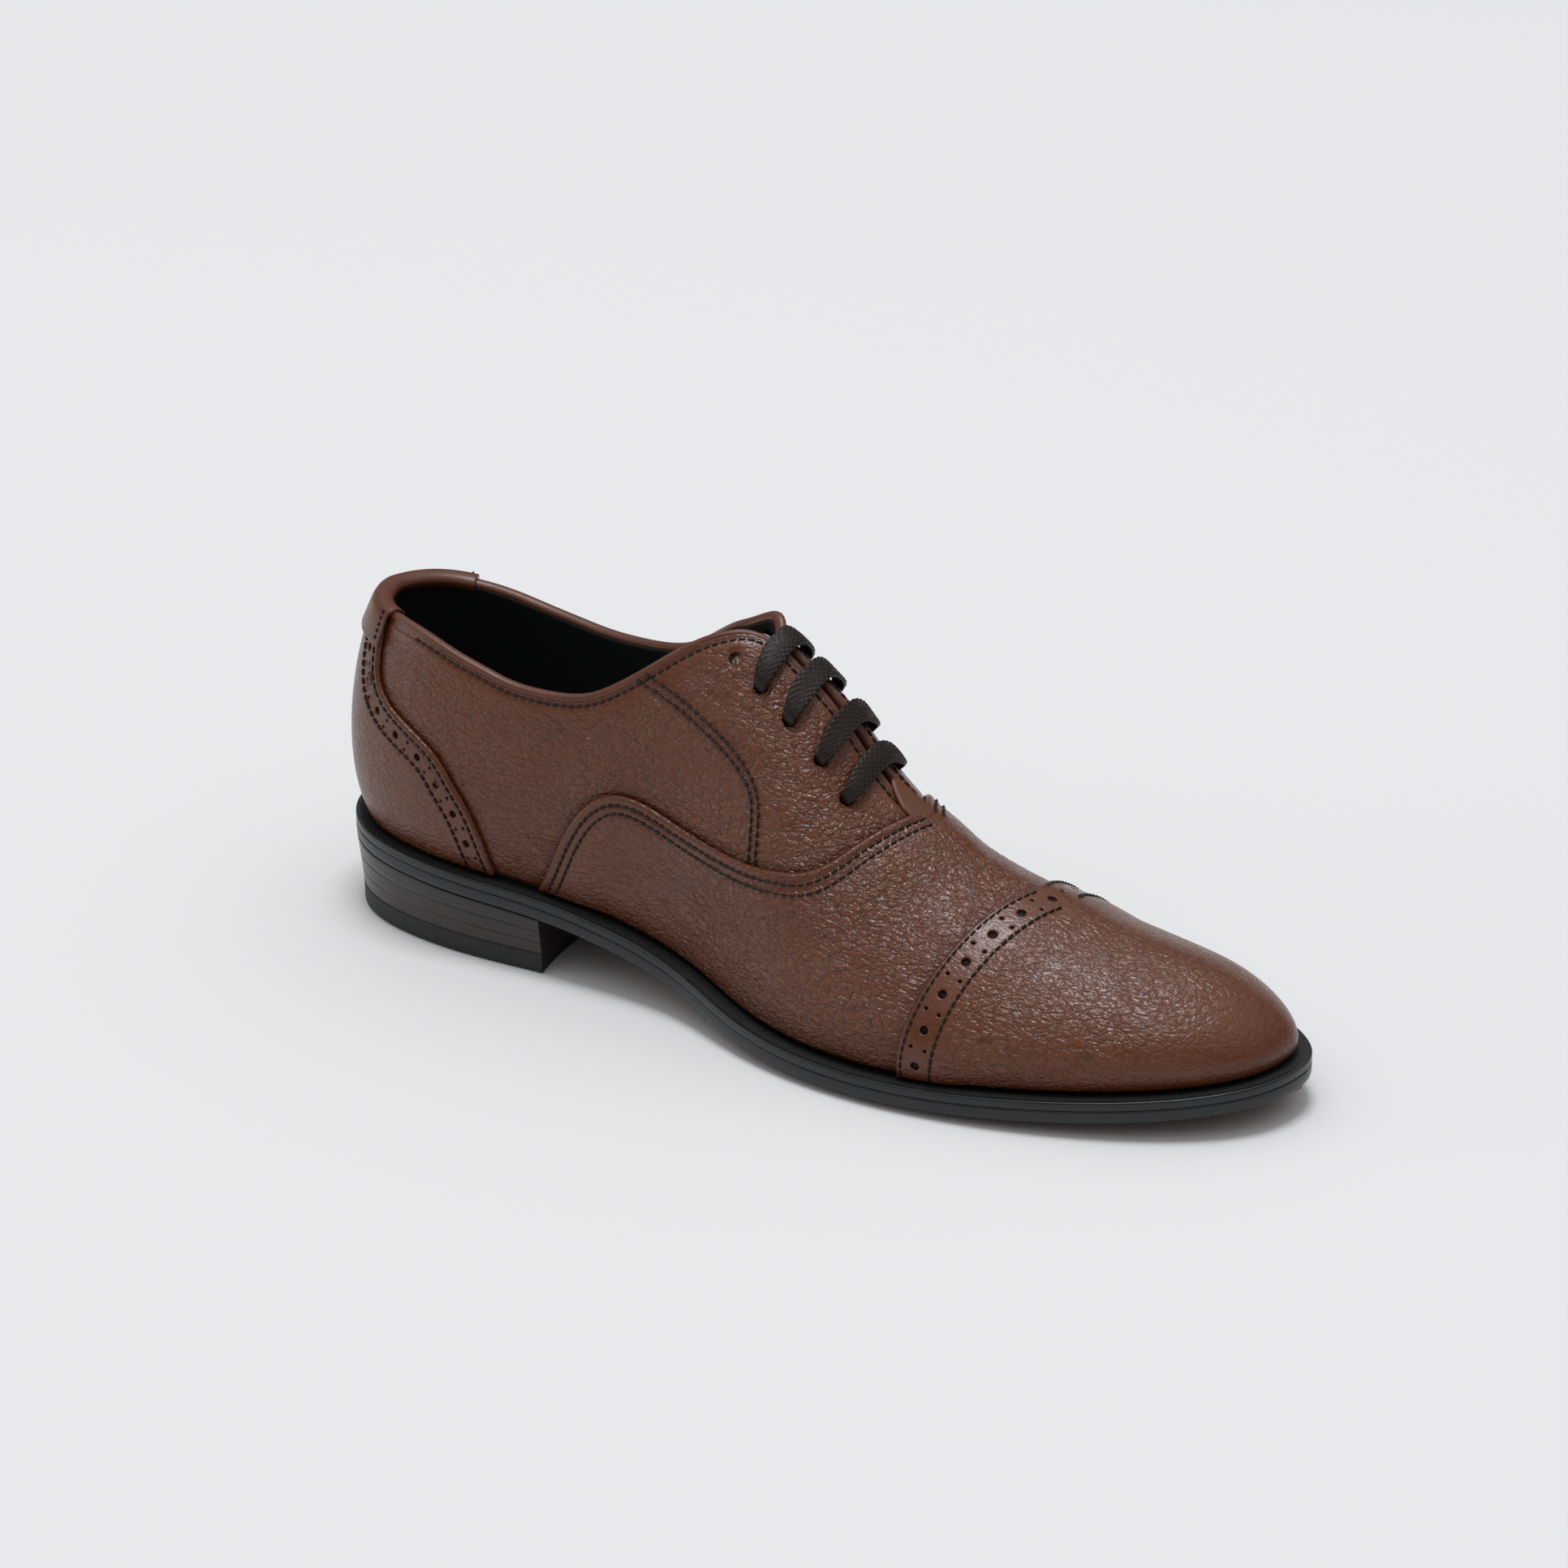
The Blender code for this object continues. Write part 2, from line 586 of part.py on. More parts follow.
def build_edge_trim(parent):
    """The rolled edge of the upper, and the heel tab folded over it."""
    middle = (quarter_face + lining_inside) / 2
    centres, outs, ups = edge_path(EDGE_END_U, BEAD_RADIUS, middle)
    angles = np.linspace(0, 2 * math.pi, 7)[:-1]
    ring = [(math.cos(a) * BEAD_RADIUS, math.sin(a) * BEAD_RADIUS) for a in angles]
    add_sweep("topline_bead", centres, outs, ups, ring, "edge_leather", parent)
    centres, outs, ups = edge_path(TAB_END_U, BEAD_RADIUS, middle)
    outer = lapped_face + GAP - middle
    inner = lining_inside - 1.5 * GAP - middle
    top = BEAD_RADIUS + GAP
    fold = [
        (outer, -TAB_OUTSIDE), (outer + TAB_LEATHER, -TAB_OUTSIDE), (outer + TAB_LEATHER, top),
        (outer, top + TAB_LEATHER), (inner, top + TAB_LEATHER), (inner - TAB_LEATHER, top),
        (inner - TAB_LEATHER, -TAB_INSIDE), (inner, -TAB_INSIDE), (inner, top), (outer, top),
    ]
    add_sweep("heel_tab", centres, outs, ups, fold, "brown_leather", parent)


def tongue_middle(u):
    """The tongue's middle line, under the facings and the lace, and the directions out of it and up it."""
    ridge = last_point(LATERAL, u, 1.0)
    ridge[1] = 0.0
    ahead = last_point(LATERAL, u + 0.004, 1.0) - last_point(LATERAL, u - 0.004, 1.0)
    out = np.array((-ahead[2], 0.0, ahead[0])) / math.hypot(ahead[0], ahead[2])
    drop = UPPER_LEATHER + LINING + float(np.interp(u, TONGUE_DROP_U, TONGUE_DROP))
    return ridge - out * drop, out


def add_tongue_sheet(name, out, thickness, half_width, columns, material_name, parent):
    """A sheet bent to an arc across the instep."""
    reach = math.asin(half_width * width_scale / TONGUE_RADIUS)
    bm = bmesh.new()
    rows = []
    for u in stations_between(TONGUE_TOP_U, TONGUE_HINGE_U):
        middle, up = tongue_middle(u)
        rows.append([
            middle + up * ((TONGUE_RADIUS + out) * math.cos(a) - TONGUE_RADIUS)
            + np.array((0.0, (TONGUE_RADIUS + out) * math.sin(a), 0.0))
            for a in np.linspace(-reach, reach, columns + 1)
        ])
    add_grid(bm, rows, flip=True)
    obj = add_object(name, mesh_from(name, bm), material_name, parent)
    solid = obj.modifiers.new("leather_thickness", "SOLIDIFY")
    solid.thickness = thickness * MM
    solid.offset = -1
    return obj


def build_tongue(hinge):
    """Both layers swing on the hinge, so they are drawn from it."""
    sheets = [
        add_tongue_sheet("tongue", 0.0, TONGUE_LEATHER, TONGUE_HALF_WIDTH, 10, "brown_leather", hinge),
        add_tongue_sheet("tongue_lining", -TONGUE_LEATHER - GAP, LINING, TONGUE_HALF_WIDTH - 1.0, 10,
                         "black_lining", hinge),
    ]
    for sheet in sheets:
        sheet.location = -hinge.location


def add_plate(name, span, grow, low, high, columns, material_name, parent, hollow=0.0):
    """A slab inside an outline of the sole. low and high give its faces' heights at x, and share across."""
    bm = bmesh.new()
    rows = stations_between(*span)
    shares = np.linspace(0, 1, columns + 1)
    for height, flip in ((high, False), (low, True)):
        grid = []
        for u in rows:
            edge = grow(u) if callable(grow) else grow
            near = np.array(feather(LATERAL, u, edge))
            far = np.array(feather(MEDIAL, u, edge))
            points = near[None] + (far - near)[None] * shares[:, None]
            if u == rows[-1]:
                points[:, 0] -= hollow * (1 - (2 * shares - 1) ** 2)
            grid.append([(x, y, height(x, share)) for (x, y), share in zip(points, shares)])
        add_grid(bm, grid, flip=not flip)
    bmesh.ops.remove_doubles(bm, verts=bm.verts, dist=0.05)
    rims = [edge for edge in bm.edges if len(edge.link_faces) == 1]
    bmesh.ops.bridge_loops(bm, edges=rims)
    bmesh.ops.recalc_face_normals(bm, faces=bm.faces)
    return add_object(name, mesh_from(name, bm), material_name, parent)


def outsole_top(x):
    return feather_z(x) - WELT_THICKNESS - GAP


def outsole_edge_bottom(x):
    return outsole_top(x) - OUTSOLE_THICKNESS


def outsole_bottom(x, share):
    """The sole's underside is flat over the heel and crowned under the foot's ball."""
    crown = SOLE_CROWN * min(max((x - HEEL_LENGTH - 15.0) / 50.0, 0.0), 1.0)
    return outsole_edge_bottom(x) - crown * (1 - (2 * share - 1) ** 2)


def ledge(u):
    """The sole stands out past the upper, less at the heel than at the toe."""
    return float(np.interp(u, [0, 0.12, 0.4, 0.75, 1], [HEEL_LEDGE, 5.4, LEDGE, LEDGE - 0.6, LEDGE - 0.6]))


def build_welt(parent):
    bm = bmesh.new()
    rows = []
    for side, order in ((LATERAL, ROWS[::-1]), (MEDIAL, ROWS[1:-1])):
        for u in order:
            outer = feather(side, u, ledge(u))
            inner = feather(side, u, WELT_INSIDE)
            z = feather_z(outer[0])
            low = z - WELT_THICKNESS
            rows.append([(*outer, low), (*outer, z), (*inner, z), (*inner, low)])
    verts = [[bm.verts.new(p) for p in row] for row in rows]
    for ring, after in zip(verts, verts[1:] + verts[:1]):
        for i in range(4):
            j = (i + 1) % 4
            bm.faces.new((ring[i], ring[j], after[j], after[i]))
    bmesh.ops.recalc_face_normals(bm, faces=bm.faces)
    add_object("welt", mesh_from("welt", bm), "black_sole", parent)


def cylinder(radius, low, high, place=(0, 0), segments=10):
    bm = bmesh.new()
    bmesh.ops.create_cone(bm, cap_ends=True, segments=segments, radius1=radius, radius2=radius,
                          depth=high - low)
    bmesh.ops.translate(bm, vec=(*place, (low + high) / 2), verts=bm.verts)
    return bm


def add_layer(name, span, grow, base, low, high, material_name, parent):
    """A flat layer of the bottom, whose faces are low and high above a base height at x."""
    return add_plate(name, span, grow, lambda x, share: base(x) + low, lambda x, share: base(x) + high, 3,
                     material_name, parent)


def build_sole(parent, cutters):
    whole = (0.0, 1.0)
    cavity = WELT_THICKNESS + GAP - 0.1
    forepart = (u_at(FILLER_FROM * length_scale), u_at(FILLER_TO * length_scale))
    seat = (float(ROWS[1]), u_at(HEEL_LENGTH - SEAT_FILLER_SHORT))
    sock_low = 2 * GAP + INSOLE_THICKNESS
    build_welt(parent)
    outsole = add_plate("outsole", whole, ledge, outsole_bottom, lambda x, share: outsole_top(x), 4,
                        "black_sole", parent)
    add_layer("forepart_filler", forepart, filler_grow, outsole_top, GAP, cavity, "cork", parent)
    add_layer("heel_seat_filler", seat, filler_grow, outsole_top, GAP, cavity, "cork", parent)
    add_layer("insole_board", whole, insole_grow, feather_z, GAP, GAP + INSOLE_THICKNESS, "stiffener_board",
              parent)
    add_layer("sock_liner", whole, sock_grow, feather_z, sock_low, sock_low + SOCK_THICKNESS, "black_lining",
              parent)
    build_shank(parent)
    build_heel(outsole, parent, cutters)


def build_heel(outsole, parent, cutters):
    """The top piece on the ground, the lifts over it, and the nails that hold the lifts to the outsole."""
    heel_end = u_at(HEEL_LENGTH)
    stack_low = TOP_PIECE_THICKNESS + GAP
    spacing = GAP / (outsole_edge_bottom(0.0) - stack_low)
    pieces = [outsole]

    def lift_face(share):
        return lambda x, across: stack_low + (outsole_edge_bottom(x) - GAP - stack_low) * share

    add_plate("heel_top_piece", (0.0, heel_end), lambda u: ledge(u) - HEEL_TAPER, lambda x, share: 0.0,
              lambda x, share: TOP_PIECE_THICKNESS, 4, "black_sole", parent, hollow=BREAST_HOLLOW)
    for number in range(HEEL_LIFTS):
        low = lift_face(number / HEEL_LIFTS + (spacing if number else 0.0))
        high = lift_face((number + 1) / HEEL_LIFTS)
        taper = HEEL_TAPER * (1 - (number + 0.5) / HEEL_LIFTS)
        pieces.append(add_plate(f"heel_lift_{number + 1}", (0.0, heel_end),
                                lambda u, taper=taper: ledge(u) - taper, low, high, 4, "stacked_heel", parent,
                                hollow=BREAST_HOLLOW))
    holes = bmesh.new()
    for number, place in enumerate(HEEL_NAILS):
        name = f"heel_nail_{number + 1}"
        low = stack_low + 0.5
        high = outsole_top(place[0]) - 0.3
        add_object(name, mesh_from(name, cylinder(NAIL_RADIUS, low, high, place, 8)), "steel", parent)
        join(holes, cylinder(NAIL_RADIUS + GAP, stack_low - 1.0, high + 6.0, place, 8))
    cut = add_cutter("nail_holes", holes, cutters)
    for piece in pieces:
        add_cut(piece, cut)


def join(bm, other):
    """Moves another bmesh's geometry into bm."""
    part = bpy.data.meshes.new("joined")
    other.to_mesh(part)
    other.free()
    bm.from_mesh(part)
    bpy.data.meshes.remove(part)


def build_shank(parent):
    """A bent steel strip that stiffens the waist between the heel and the tread."""
    xs = np.linspace(HEEL_LENGTH - SHANK_SHORT, SHANK_FRONT * length_scale, 9)
    centres = np.array([(x, 0.0, outsole_top(x) + GAP + SHANK_THICKNESS / 2) for x in xs])
    tangents = np.gradient(centres, axis=0)
    tangents /= np.linalg.norm(tangents, axis=1, keepdims=True)
    outs = np.tile((0.0, 1.0, 0.0), (len(xs), 1))
    ups = np.cross(tangents, outs)
    half, flat = SHANK_WIDTH / 2, SHANK_THICKNESS / 2
    profile = [(-half, -flat), (half, -flat), (half, flat), (-half, flat)]
    add_sweep("shank", centres, outs, ups, profile, "steel", parent)


def add_cutter(name, bm, cutters):
    cutter = bpy.data.objects.new(name, mesh_from(name, bm))
    cutters.objects.link(cutter)
    cutter.parent = bpy.data.objects["shoe"]
    cutter.hide_render = True
    cutter.display_type = "WIRE"
    return cutter


def add_cut(obj, cutter):
    cut = obj.modifiers.new(f"cut_{cutter.name}", "BOOLEAN")
    cut.operation = "DIFFERENCE"
    cut.solver = "EXACT"
    cut.object = cutter


def eyelet_frame(side, number):
    """Centre on the last's surface and outward direction of an eyelet, counted from the top."""
    u, t = EYELET_U[number], EYELET_T[number]
    return last_point(side, u, t), last_normal(side, u, t)


def aim(centre, direction):
    """A matrix that puts local Z along a direction, with its place in metres."""
    turn = Vector(direction).to_track_quat("Z", "Y").to_matrix().to_4x4()
    return Matrix.Translation(Vector(centre) * MM) @ turn


def build_eyelets(parent, cutters, pieces):
    """Blind eyelets: short tubes under the facing leather, which has a plain punched hole over each."""
    low = lining_inside - 0.5
    high = stiffener_face - 0.5
    profile = bmesh.new()
    hole = EYELET_HOLE_RADIUS
    corners = [(EYELET_RADIUS, high), (EYELET_RADIUS, low), (hole, low), (hole, high)]
    verts = [profile.verts.new((x, 0, z)) for x, z in corners]
    for a, b in zip(verts, verts[1:] + verts[:1]):
        profile.edges.new((a, b))
    ring = mesh_from("eyelet", profile, merge=1e-4)
    ring.materials.append(material("steel"))
    for word, side in SIDES.items():
        leather_holes = bmesh.new()
        lining_holes = bmesh.new()
        for number in range(len(EYELET_U)):
            centre, normal = eyelet_frame(side, number)
            obj = bpy.data.objects.new(f"eyelet_{word}_{number + 1}", ring)
            collection.objects.link(obj)
            obj.parent = parent
            place = aim(centre, normal)
            obj.matrix_local = place
            turned = obj.modifiers.new("turned", "SCREW")
            turned.steps = turned.render_steps = 10
            turned.use_merge_vertices = True
            turned.merge_threshold = 0.00001
            for holes, radius, bottom, top in (
                (leather_holes, EYELET_HOLE_RADIUS, stiffener_face + 0.05, 3.0),
                (lining_holes, EYELET_RADIUS + GAP, lining_inside - 3.0, stiffener_face + 0.2),
            ):
                drill = cylinder(radius, bottom, top)
                move = Matrix.Translation(Vector(centre)) @ place.to_3x3().to_4x4()
                bmesh.ops.transform(drill, matrix=move, verts=drill.verts)
                join(holes, drill)
        leather_cut = add_cutter(f"leather_eyelet_holes_{word}", leather_holes, cutters)
        lining_cut = add_cutter(f"lining_eyelet_holes_{word}", lining_holes, cutters)
        add_cut(pieces[f"quarter_{word}"], leather_cut)
        add_cut(pieces[f"quarter_lining_{word}"], lining_cut)
        add_cut(pieces[f"facing_stay_{word}"], lining_cut)


def bar_over(side, number):
    """Out of one side's eyelet, over the gap, and in through the other side's."""
    u, t = EYELET_U[number], EYELET_T[number]
    over = LACE_OVER + 0.4
    half = [(t, lace_under), (t, -1.8), (t, LACE_OVER), (t + 0.08, over), (t + 0.16, over)]
    start = [leather_point(side, u, level, out) for level, out in half]
    end = [leather_point(-side, u, level, out) for level, out in reversed(half)]
    return [*start, leather_point(side, u, 1.0, over), *end]


def run_under(side, first, last, sidestep):
    """Between two eyelets inside the shoe, past an eyelet that may lie between them."""
    middle_u = (EYELET_U[first] + EYELET_U[last]) / 2
    middle_t = (EYELET_T[first] + EYELET_T[last]) / 2 + sidestep
    return [leather_point(side, middle_u, middle_t, lace_under)]


def down_the_wall(number):
    """From an eyelet's inside, past the tongue's edge and down the lateral wall."""
    u, t = EYELET_U[number], EYELET_T[number]
    drops = ((0.002, 0.09), (0.006, 0.19), (0.012, 0.31), (0.02, 0.44), (0.03, 0.57))
    return [leather_point(LATERAL, u - back, t - down, lace_wall) for back, down in drops]


def on_sock(u, inset):
    """A point where the lace lies on the sock liner, inset from the lateral feather."""
    x, y = feather(LATERAL, u, lining_inside - inset)
    sock = feather_z(x) + 2 * GAP + INSOLE_THICKNESS + SOCK_THICKNESS
    return np.array((x, y, sock + AGLET_RADIUS + AGLET_CLEARANCE))


def lace_route():
    """Bar lacing: four bars show outside, and both tails are tucked in down the lateral side."""
    front_tail = ((0.7, 14.0), (0.67, 15.0), (0.63, 16.0), (0.59, 17.0), (0.55, 17.0), (0.51, 15.0),
                  (0.475, 12.0), (0.455, 8.0))
    back_tail = ((0.385, 6.0), (0.35, 6.5), (0.30, 6.5), (0.25, 6.5), (0.21, 6.5), (0.17, 7.0), (0.13, 8.0))
    route = [on_sock(u, inset) for u, inset in front_tail]
    route += reversed(down_the_wall(2))
    route += bar_over(LATERAL, 2)
    route += run_under(MEDIAL, 2, 4, -LACE_SIDESTEP)
    route += bar_over(MEDIAL, 4)
    route += run_under(LATERAL, 4, 3, 0.0)
    route += bar_over(LATERAL, 3)
    route += run_under(MEDIAL, 3, 1, LACE_SIDESTEP)
    route += bar_over(MEDIAL, 1)
    route += down_the_wall(1)
    route += [on_sock(u, inset) for u, inset in back_tail]
    return np.array(route)


def smooth_path(points, count):
    """Points along one smooth curve through the route, closer together where it bends."""
    reach = np.concatenate([[0.0], np.cumsum(np.linalg.norm(np.diff(points, axis=0), axis=1) ** 0.7)])
    axes = [Spline(reach, points[:, axis]) for axis in range(3)]
    fine = np.linspace(0, reach[-1], 6000)
    curve = np.stack([axis(fine) for axis in axes], -1)
    steps = np.diff(curve, axis=0)
    sizes = np.linalg.norm(steps, axis=1)
    headings = steps / sizes[:, None]
    turns = np.concatenate([[0.0], np.linalg.norm(np.diff(headings, axis=0), axis=1)])
    effort = np.concatenate([[0.0], np.cumsum(sizes + turns * LACE_BEND_WEIGHT)])
    even = np.linspace(0, effort[-1], count)
    return np.stack([np.interp(even, effort, curve[:, axis]) for axis in range(3)], -1), sizes.sum()


def build_lace(parent):
    path, length = smooth_path(lace_route(), LACE_POINTS)
    print(f"lace {length:.0f} mm, and each aglet {AGLET_LENGTH:.0f} mm")
    curve = bpy.data.curves.new("lace", "CURVE")
    curve.dimensions = "3D"
    curve.bevel_depth = LACE_RADIUS * MM
    curve.bevel_resolution = 2
    curve.use_fill_caps = True
    spline = curve.splines.new("POLY")
    spline.points.add(len(path) - 1)
    for point, place in zip(spline.points, path):
        point.co = (*(place * MM), 1)
    lace = bpy.data.objects.new("lace", curve)
    collection.objects.link(lace)
    curve.materials.append(material("lace_cotton"))
    lace.parent = parent
    for number, (end, inner) in enumerate(((path[0], path[1]), (path[-1], path[-2]))):
        direction = (end - inner) / np.linalg.norm(end - inner)
        name = f"aglet_{number + 1}"
        cap = mesh_from(name, cylinder(AGLET_RADIUS, GAP + 0.2, GAP + AGLET_LENGTH, segments=8))
        aglet = add_object(name, cap, "aglet_plastic", parent)
        aglet.matrix_local = aim(end, direction)


def build_throat_patch(parent):
    """The small leather tack that holds the facings together at the throat."""
    add_panel("throat_patch", (LATERAL, MEDIAL), [0.566, 0.572, 0.579], lambda s, u: 0.9, ridge_edge,
              quarter_face + GAP + 0.8, 0.8, 3, "brown_leather", parent)


def main():
    global collection
    clear_scene()
    collection = new_collection(OBJECT_NAME)
    cutters = new_collection("cutters")
    cutters.hide_render = True
    shoe = add_empty("shoe", (-HEEL_LENGTH / 2, 0, 0))
    hinge = tongue_middle(TONGUE_HINGE_U)[0]
    tongue = add_empty("tongue_hinge", hinge, shoe)
    build_upper(shoe)
    build_edge_trim(shoe)
    build_throat_patch(shoe)
    build_tongue(tongue)
    build_eyelets(shoe, cutters, bpy.data.objects)
    build_sole(shoe, cutters)
    build_lace(shoe)


main()
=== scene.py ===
"""Looks of the leather oxford shoe: fine leather, thread, lace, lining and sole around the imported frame.

Shapes are drawn in millimetres on the same last as the CAD model, with x counted from the last's back, and
put in the frame's metres by to_world. A point of the last is given by its side (-1 lateral, +1 medial), u from
the heel's back (0) to the toe's tip (1) and t from the feather edge (0) to the ridge (1).
"""

import math

import bmesh
import bpy
import numpy as np
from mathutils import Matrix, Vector
from mathutils.kdtree import KDTree


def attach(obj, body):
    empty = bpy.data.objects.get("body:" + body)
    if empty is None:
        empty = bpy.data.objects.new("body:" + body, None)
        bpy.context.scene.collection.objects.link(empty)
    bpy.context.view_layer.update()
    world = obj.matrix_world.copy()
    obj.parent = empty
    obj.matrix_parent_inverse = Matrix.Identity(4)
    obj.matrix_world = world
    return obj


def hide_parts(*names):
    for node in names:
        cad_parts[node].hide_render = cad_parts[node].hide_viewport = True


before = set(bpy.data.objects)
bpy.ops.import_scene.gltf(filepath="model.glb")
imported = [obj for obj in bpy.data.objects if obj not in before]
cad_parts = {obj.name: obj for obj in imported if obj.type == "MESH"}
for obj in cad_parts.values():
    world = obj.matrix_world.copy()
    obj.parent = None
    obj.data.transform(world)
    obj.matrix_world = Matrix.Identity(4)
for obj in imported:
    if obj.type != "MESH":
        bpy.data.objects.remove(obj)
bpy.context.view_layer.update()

MM = 0.001
LATERAL = -1
MEDIAL = 1
SIDES = {"lateral": LATERAL, "medial": MEDIAL}
HEEL_LENGTH = 77.0
ORIGIN_X = HEEL_LENGTH / 2

# Leather, in millimetres. A layer's place is the distance of its outer face from the last's surface.
LEATHER = 1.2
LAP_LIFT = 1.3
EDGE_ROUND = 1.1
BEAD_RADIUS = 1.35
LINING_FACE = -2.6
LINING_INSIDE = -3.7
ROW_END = 0.02
STITCH_PITCH = 2.5
STITCH_WIDTH = 0.66
STITCH_LIFT = 0.1

# Sole and heel.
GAP = 0.45
WELT_THICKNESS = 2.2
OUTSOLE_THICKNESS = 3.8
SOLE_CROWN = 1.4
LEDGE = 5.6
HEEL_LEDGE = 4.6
HEEL_TAPER = 1.6
BREAST_HOLLOW = 4.0
TOP_PIECE_THICKNESS = 6.0
HEEL_LIFTS = 3
INSOLE_THICKNESS = 2.0
SOCK_THICKNESS = 1.4
FEATHER_LIFT = 1.2
TREAD_HEIGHT = WELT_THICKNESS + GAP + OUTSOLE_THICKNESS + SOLE_CROWN

# The last's tables, as in the CAD model.
STATIONS = [1.5, 4.5, 13, 30, 50, 75, 100, 125, 150, 175, 200, 225, 245, 262, 277, 288, 294, 296]
LATERAL_HALF = [0, 11, 20.6, 27.2, 29.4, 28.4, 28, 30.5, 39.6, 46, 46.9, 43.4, 37.8, 30.9, 22.6, 13.6, 4.8, -6]
MEDIAL_HALF = [0, 11.5, 20.8, 27, 28.6, 27.8, 25.5, 25, 29.5, 36.5, 41.5, 42.5, 39.5, 34.5, 27.5, 19.5, 12.5, 6]
FEATHER_STATIONS = [0, 40, 75, 110, 145, 180, 215, 250, 280, 300]
FEATHER_RISE = [20.0, 18.0, 16.1, 10.6, 3.1, 0.3, 0.5, 2.5, 4.9, 7.1]
RIDGE_STATIONS = [0, 30, 60, 95, 125, 139, 150, 158, 167, 176, 188, 205, 225, 245, 262, 280, 300]
RIDGE_RISE = [112, 113, 112, 109, 103, 97, 89, 82, 71.3, 62, 53.8, 46, 40.2, 35.2, 32, 29.6, 24.8]
RIB_STATIONS = [0, 0.1, 0.25, 0.4, 0.5, 0.6, 0.7, 0.85, 1]
RIB_BULGE = {LATERAL: [13, 10, 6, 4, 4, 5, 6, 7, 6], MEDIAL: [13, 9, 6, 4, 4, 4.9, 4.2, 5.7, 6]}
RIB_WALL = [0.22, 0.26, 0.3, 0.36, 0.4, 0.42, 0.45, 0.5, 0.5]
RIB_TOP = {LATERAL: [0.9, 0.95, 0.85, 0.62, 0.45, 0.45, 0.5, 0.55, 0.6],
           MEDIAL: [0.9, 0.66, 0.7, 0.6, 0.42, 0.27, 0.17, 0.32, 0.6]}
HEEL_FAN = 36.0
TOE_FAN = 262.0
FAN_SOFTNESS = 6.0
RIDGE_DRIFT_FROM = 180.0
RIDGE_DRIFT = 1.0 / 60.0

# Lines drawn on the last, as (u, t).
VAMP_SEAM = [(0.262, 0.0), (0.274, 0.08), (0.287, 0.17), (0.302, 0.248), (0.32, 0.303), (0.341, 0.332),
             (0.365, 0.338), (0.4, 0.328), (0.437, 0.329), (0.475, 0.351), (0.51, 0.393), (0.539, 0.462),
             (0.561, 0.57), (0.576, 0.701), (0.589, 0.84), (0.6, 1.0)]
TOPLINE = {
    LATERAL: [(0.0, 0.61), (0.05, 0.608), (0.09, 0.604), (0.136, 0.588), (0.175, 0.56), (0.209, 0.536),
              (0.241, 0.518), (0.287, 0.524), (0.317, 0.559), (0.35, 0.639), (0.381, 0.745), (0.403, 0.83),
              (0.418, 0.888), (0.428, 0.925), (0.4405, 0.957)],
    MEDIAL: [(0.0, 0.61), (0.05, 0.593), (0.09, 0.575), (0.136, 0.553), (0.175, 0.53), (0.209, 0.514),
             (0.241, 0.506), (0.287, 0.52), (0.325, 0.56), (0.36, 0.645), (0.392, 0.755), (0.416, 0.84),
             (0.432, 0.895), (0.442, 0.93), (0.4525, 0.96)]}
FACING_CORNER_U = {LATERAL: 0.458, MEDIAL: 0.468}
FACING_FRONT_U = (0.488, 0.515, 0.55)
FOXING_EDGE = [(0.088, 0.575), (0.0945, 0.47), (0.101, 0.43), (0.116, 0.39), (0.141, 0.352), (0.166, 0.309),
               (0.182, 0.255), (0.197, 0.195), (0.209, 0.114), (0.219, 0.0)]
FACING_SEAM = [(0.349, 0.633), (0.38, 0.613), (0.415, 0.587), (0.455, 0.561), (0.479, 0.533), (0.49, 0.476),
               (0.496, 0.37)]
EYELETS = [(0.431, 0.79), (0.461, 0.765), (0.493, 0.757), (0.527, 0.757), (0.554, 0.757)]
EYELET_HOLE_RADIUS = 1.95
THROAT_U = 0.6
QUARTER_END_U = 0.612
FACING_FOOT_U = 0.584
FACING_GAP = 2.4
CORNER_FLARE = (3.5, 3.0, 4.5)
CORNER_FLARE_U = 0.428
CORNER_FLARE_SPREAD = 0.019
CAP_LATERAL = 204.0
CAP_MEDIAL = 214.0
CAP_RIDGE = 221.0
CAP_UNDERLAP_U = 0.03
LEAST_T_STRETCH = 15.0
HOLES_END_T = 0.985


class Spline:
    """A natural cubic spline, or one whose end slopes are zero. ys may hold points."""

    def __init__(self, xs, ys, flat_ends=False):
        self.xs = np.array(xs, float)
        self.ys = np.array(ys, float)
        h = np.diff(self.xs)
        columns = self.ys.reshape(len(self.xs), -1)
        rise = np.diff(columns, axis=0) / h[:, None]
        n = len(self.xs)
        matrix = np.zeros((n, n))
        right = np.zeros_like(columns)
        for i in range(1, n - 1):
            matrix[i, i - 1 : i + 2] = h[i - 1], 2 * (h[i - 1] + h[i]), h[i]
            right[i] = 6 * (rise[i] - rise[i - 1])
        matrix[0, 0] = matrix[-1, -1] = 1.0
        if flat_ends:
            matrix[0, :2] = 2 * h[0], h[0]
            matrix[-1, -2:] = h[-1], 2 * h[-1]
            right[0] = 6 * rise[0]
            right[-1] = -6 * rise[-1]
        self.bend = np.linalg.solve(matrix, right).reshape(self.ys.shape)

    def __call__(self, x):
        x = np.asarray(x, float)
        i = np.clip(np.searchsorted(self.xs, x) - 1, 0, len(self.xs) - 2)
        h = self.xs[i + 1] - self.xs[i]
        a = (self.xs[i + 1] - x) / h
        b = (x - self.xs[i]) / h
        if self.ys.ndim > 1:
            a, b, h = a[..., None], b[..., None], h[..., None]
        curve = (a**3 - a) * self.bend[i] + (b**3 - b) * self.bend[i + 1]
        return a * self.ys[i] + b * self.ys[i + 1] + curve * h * h / 6


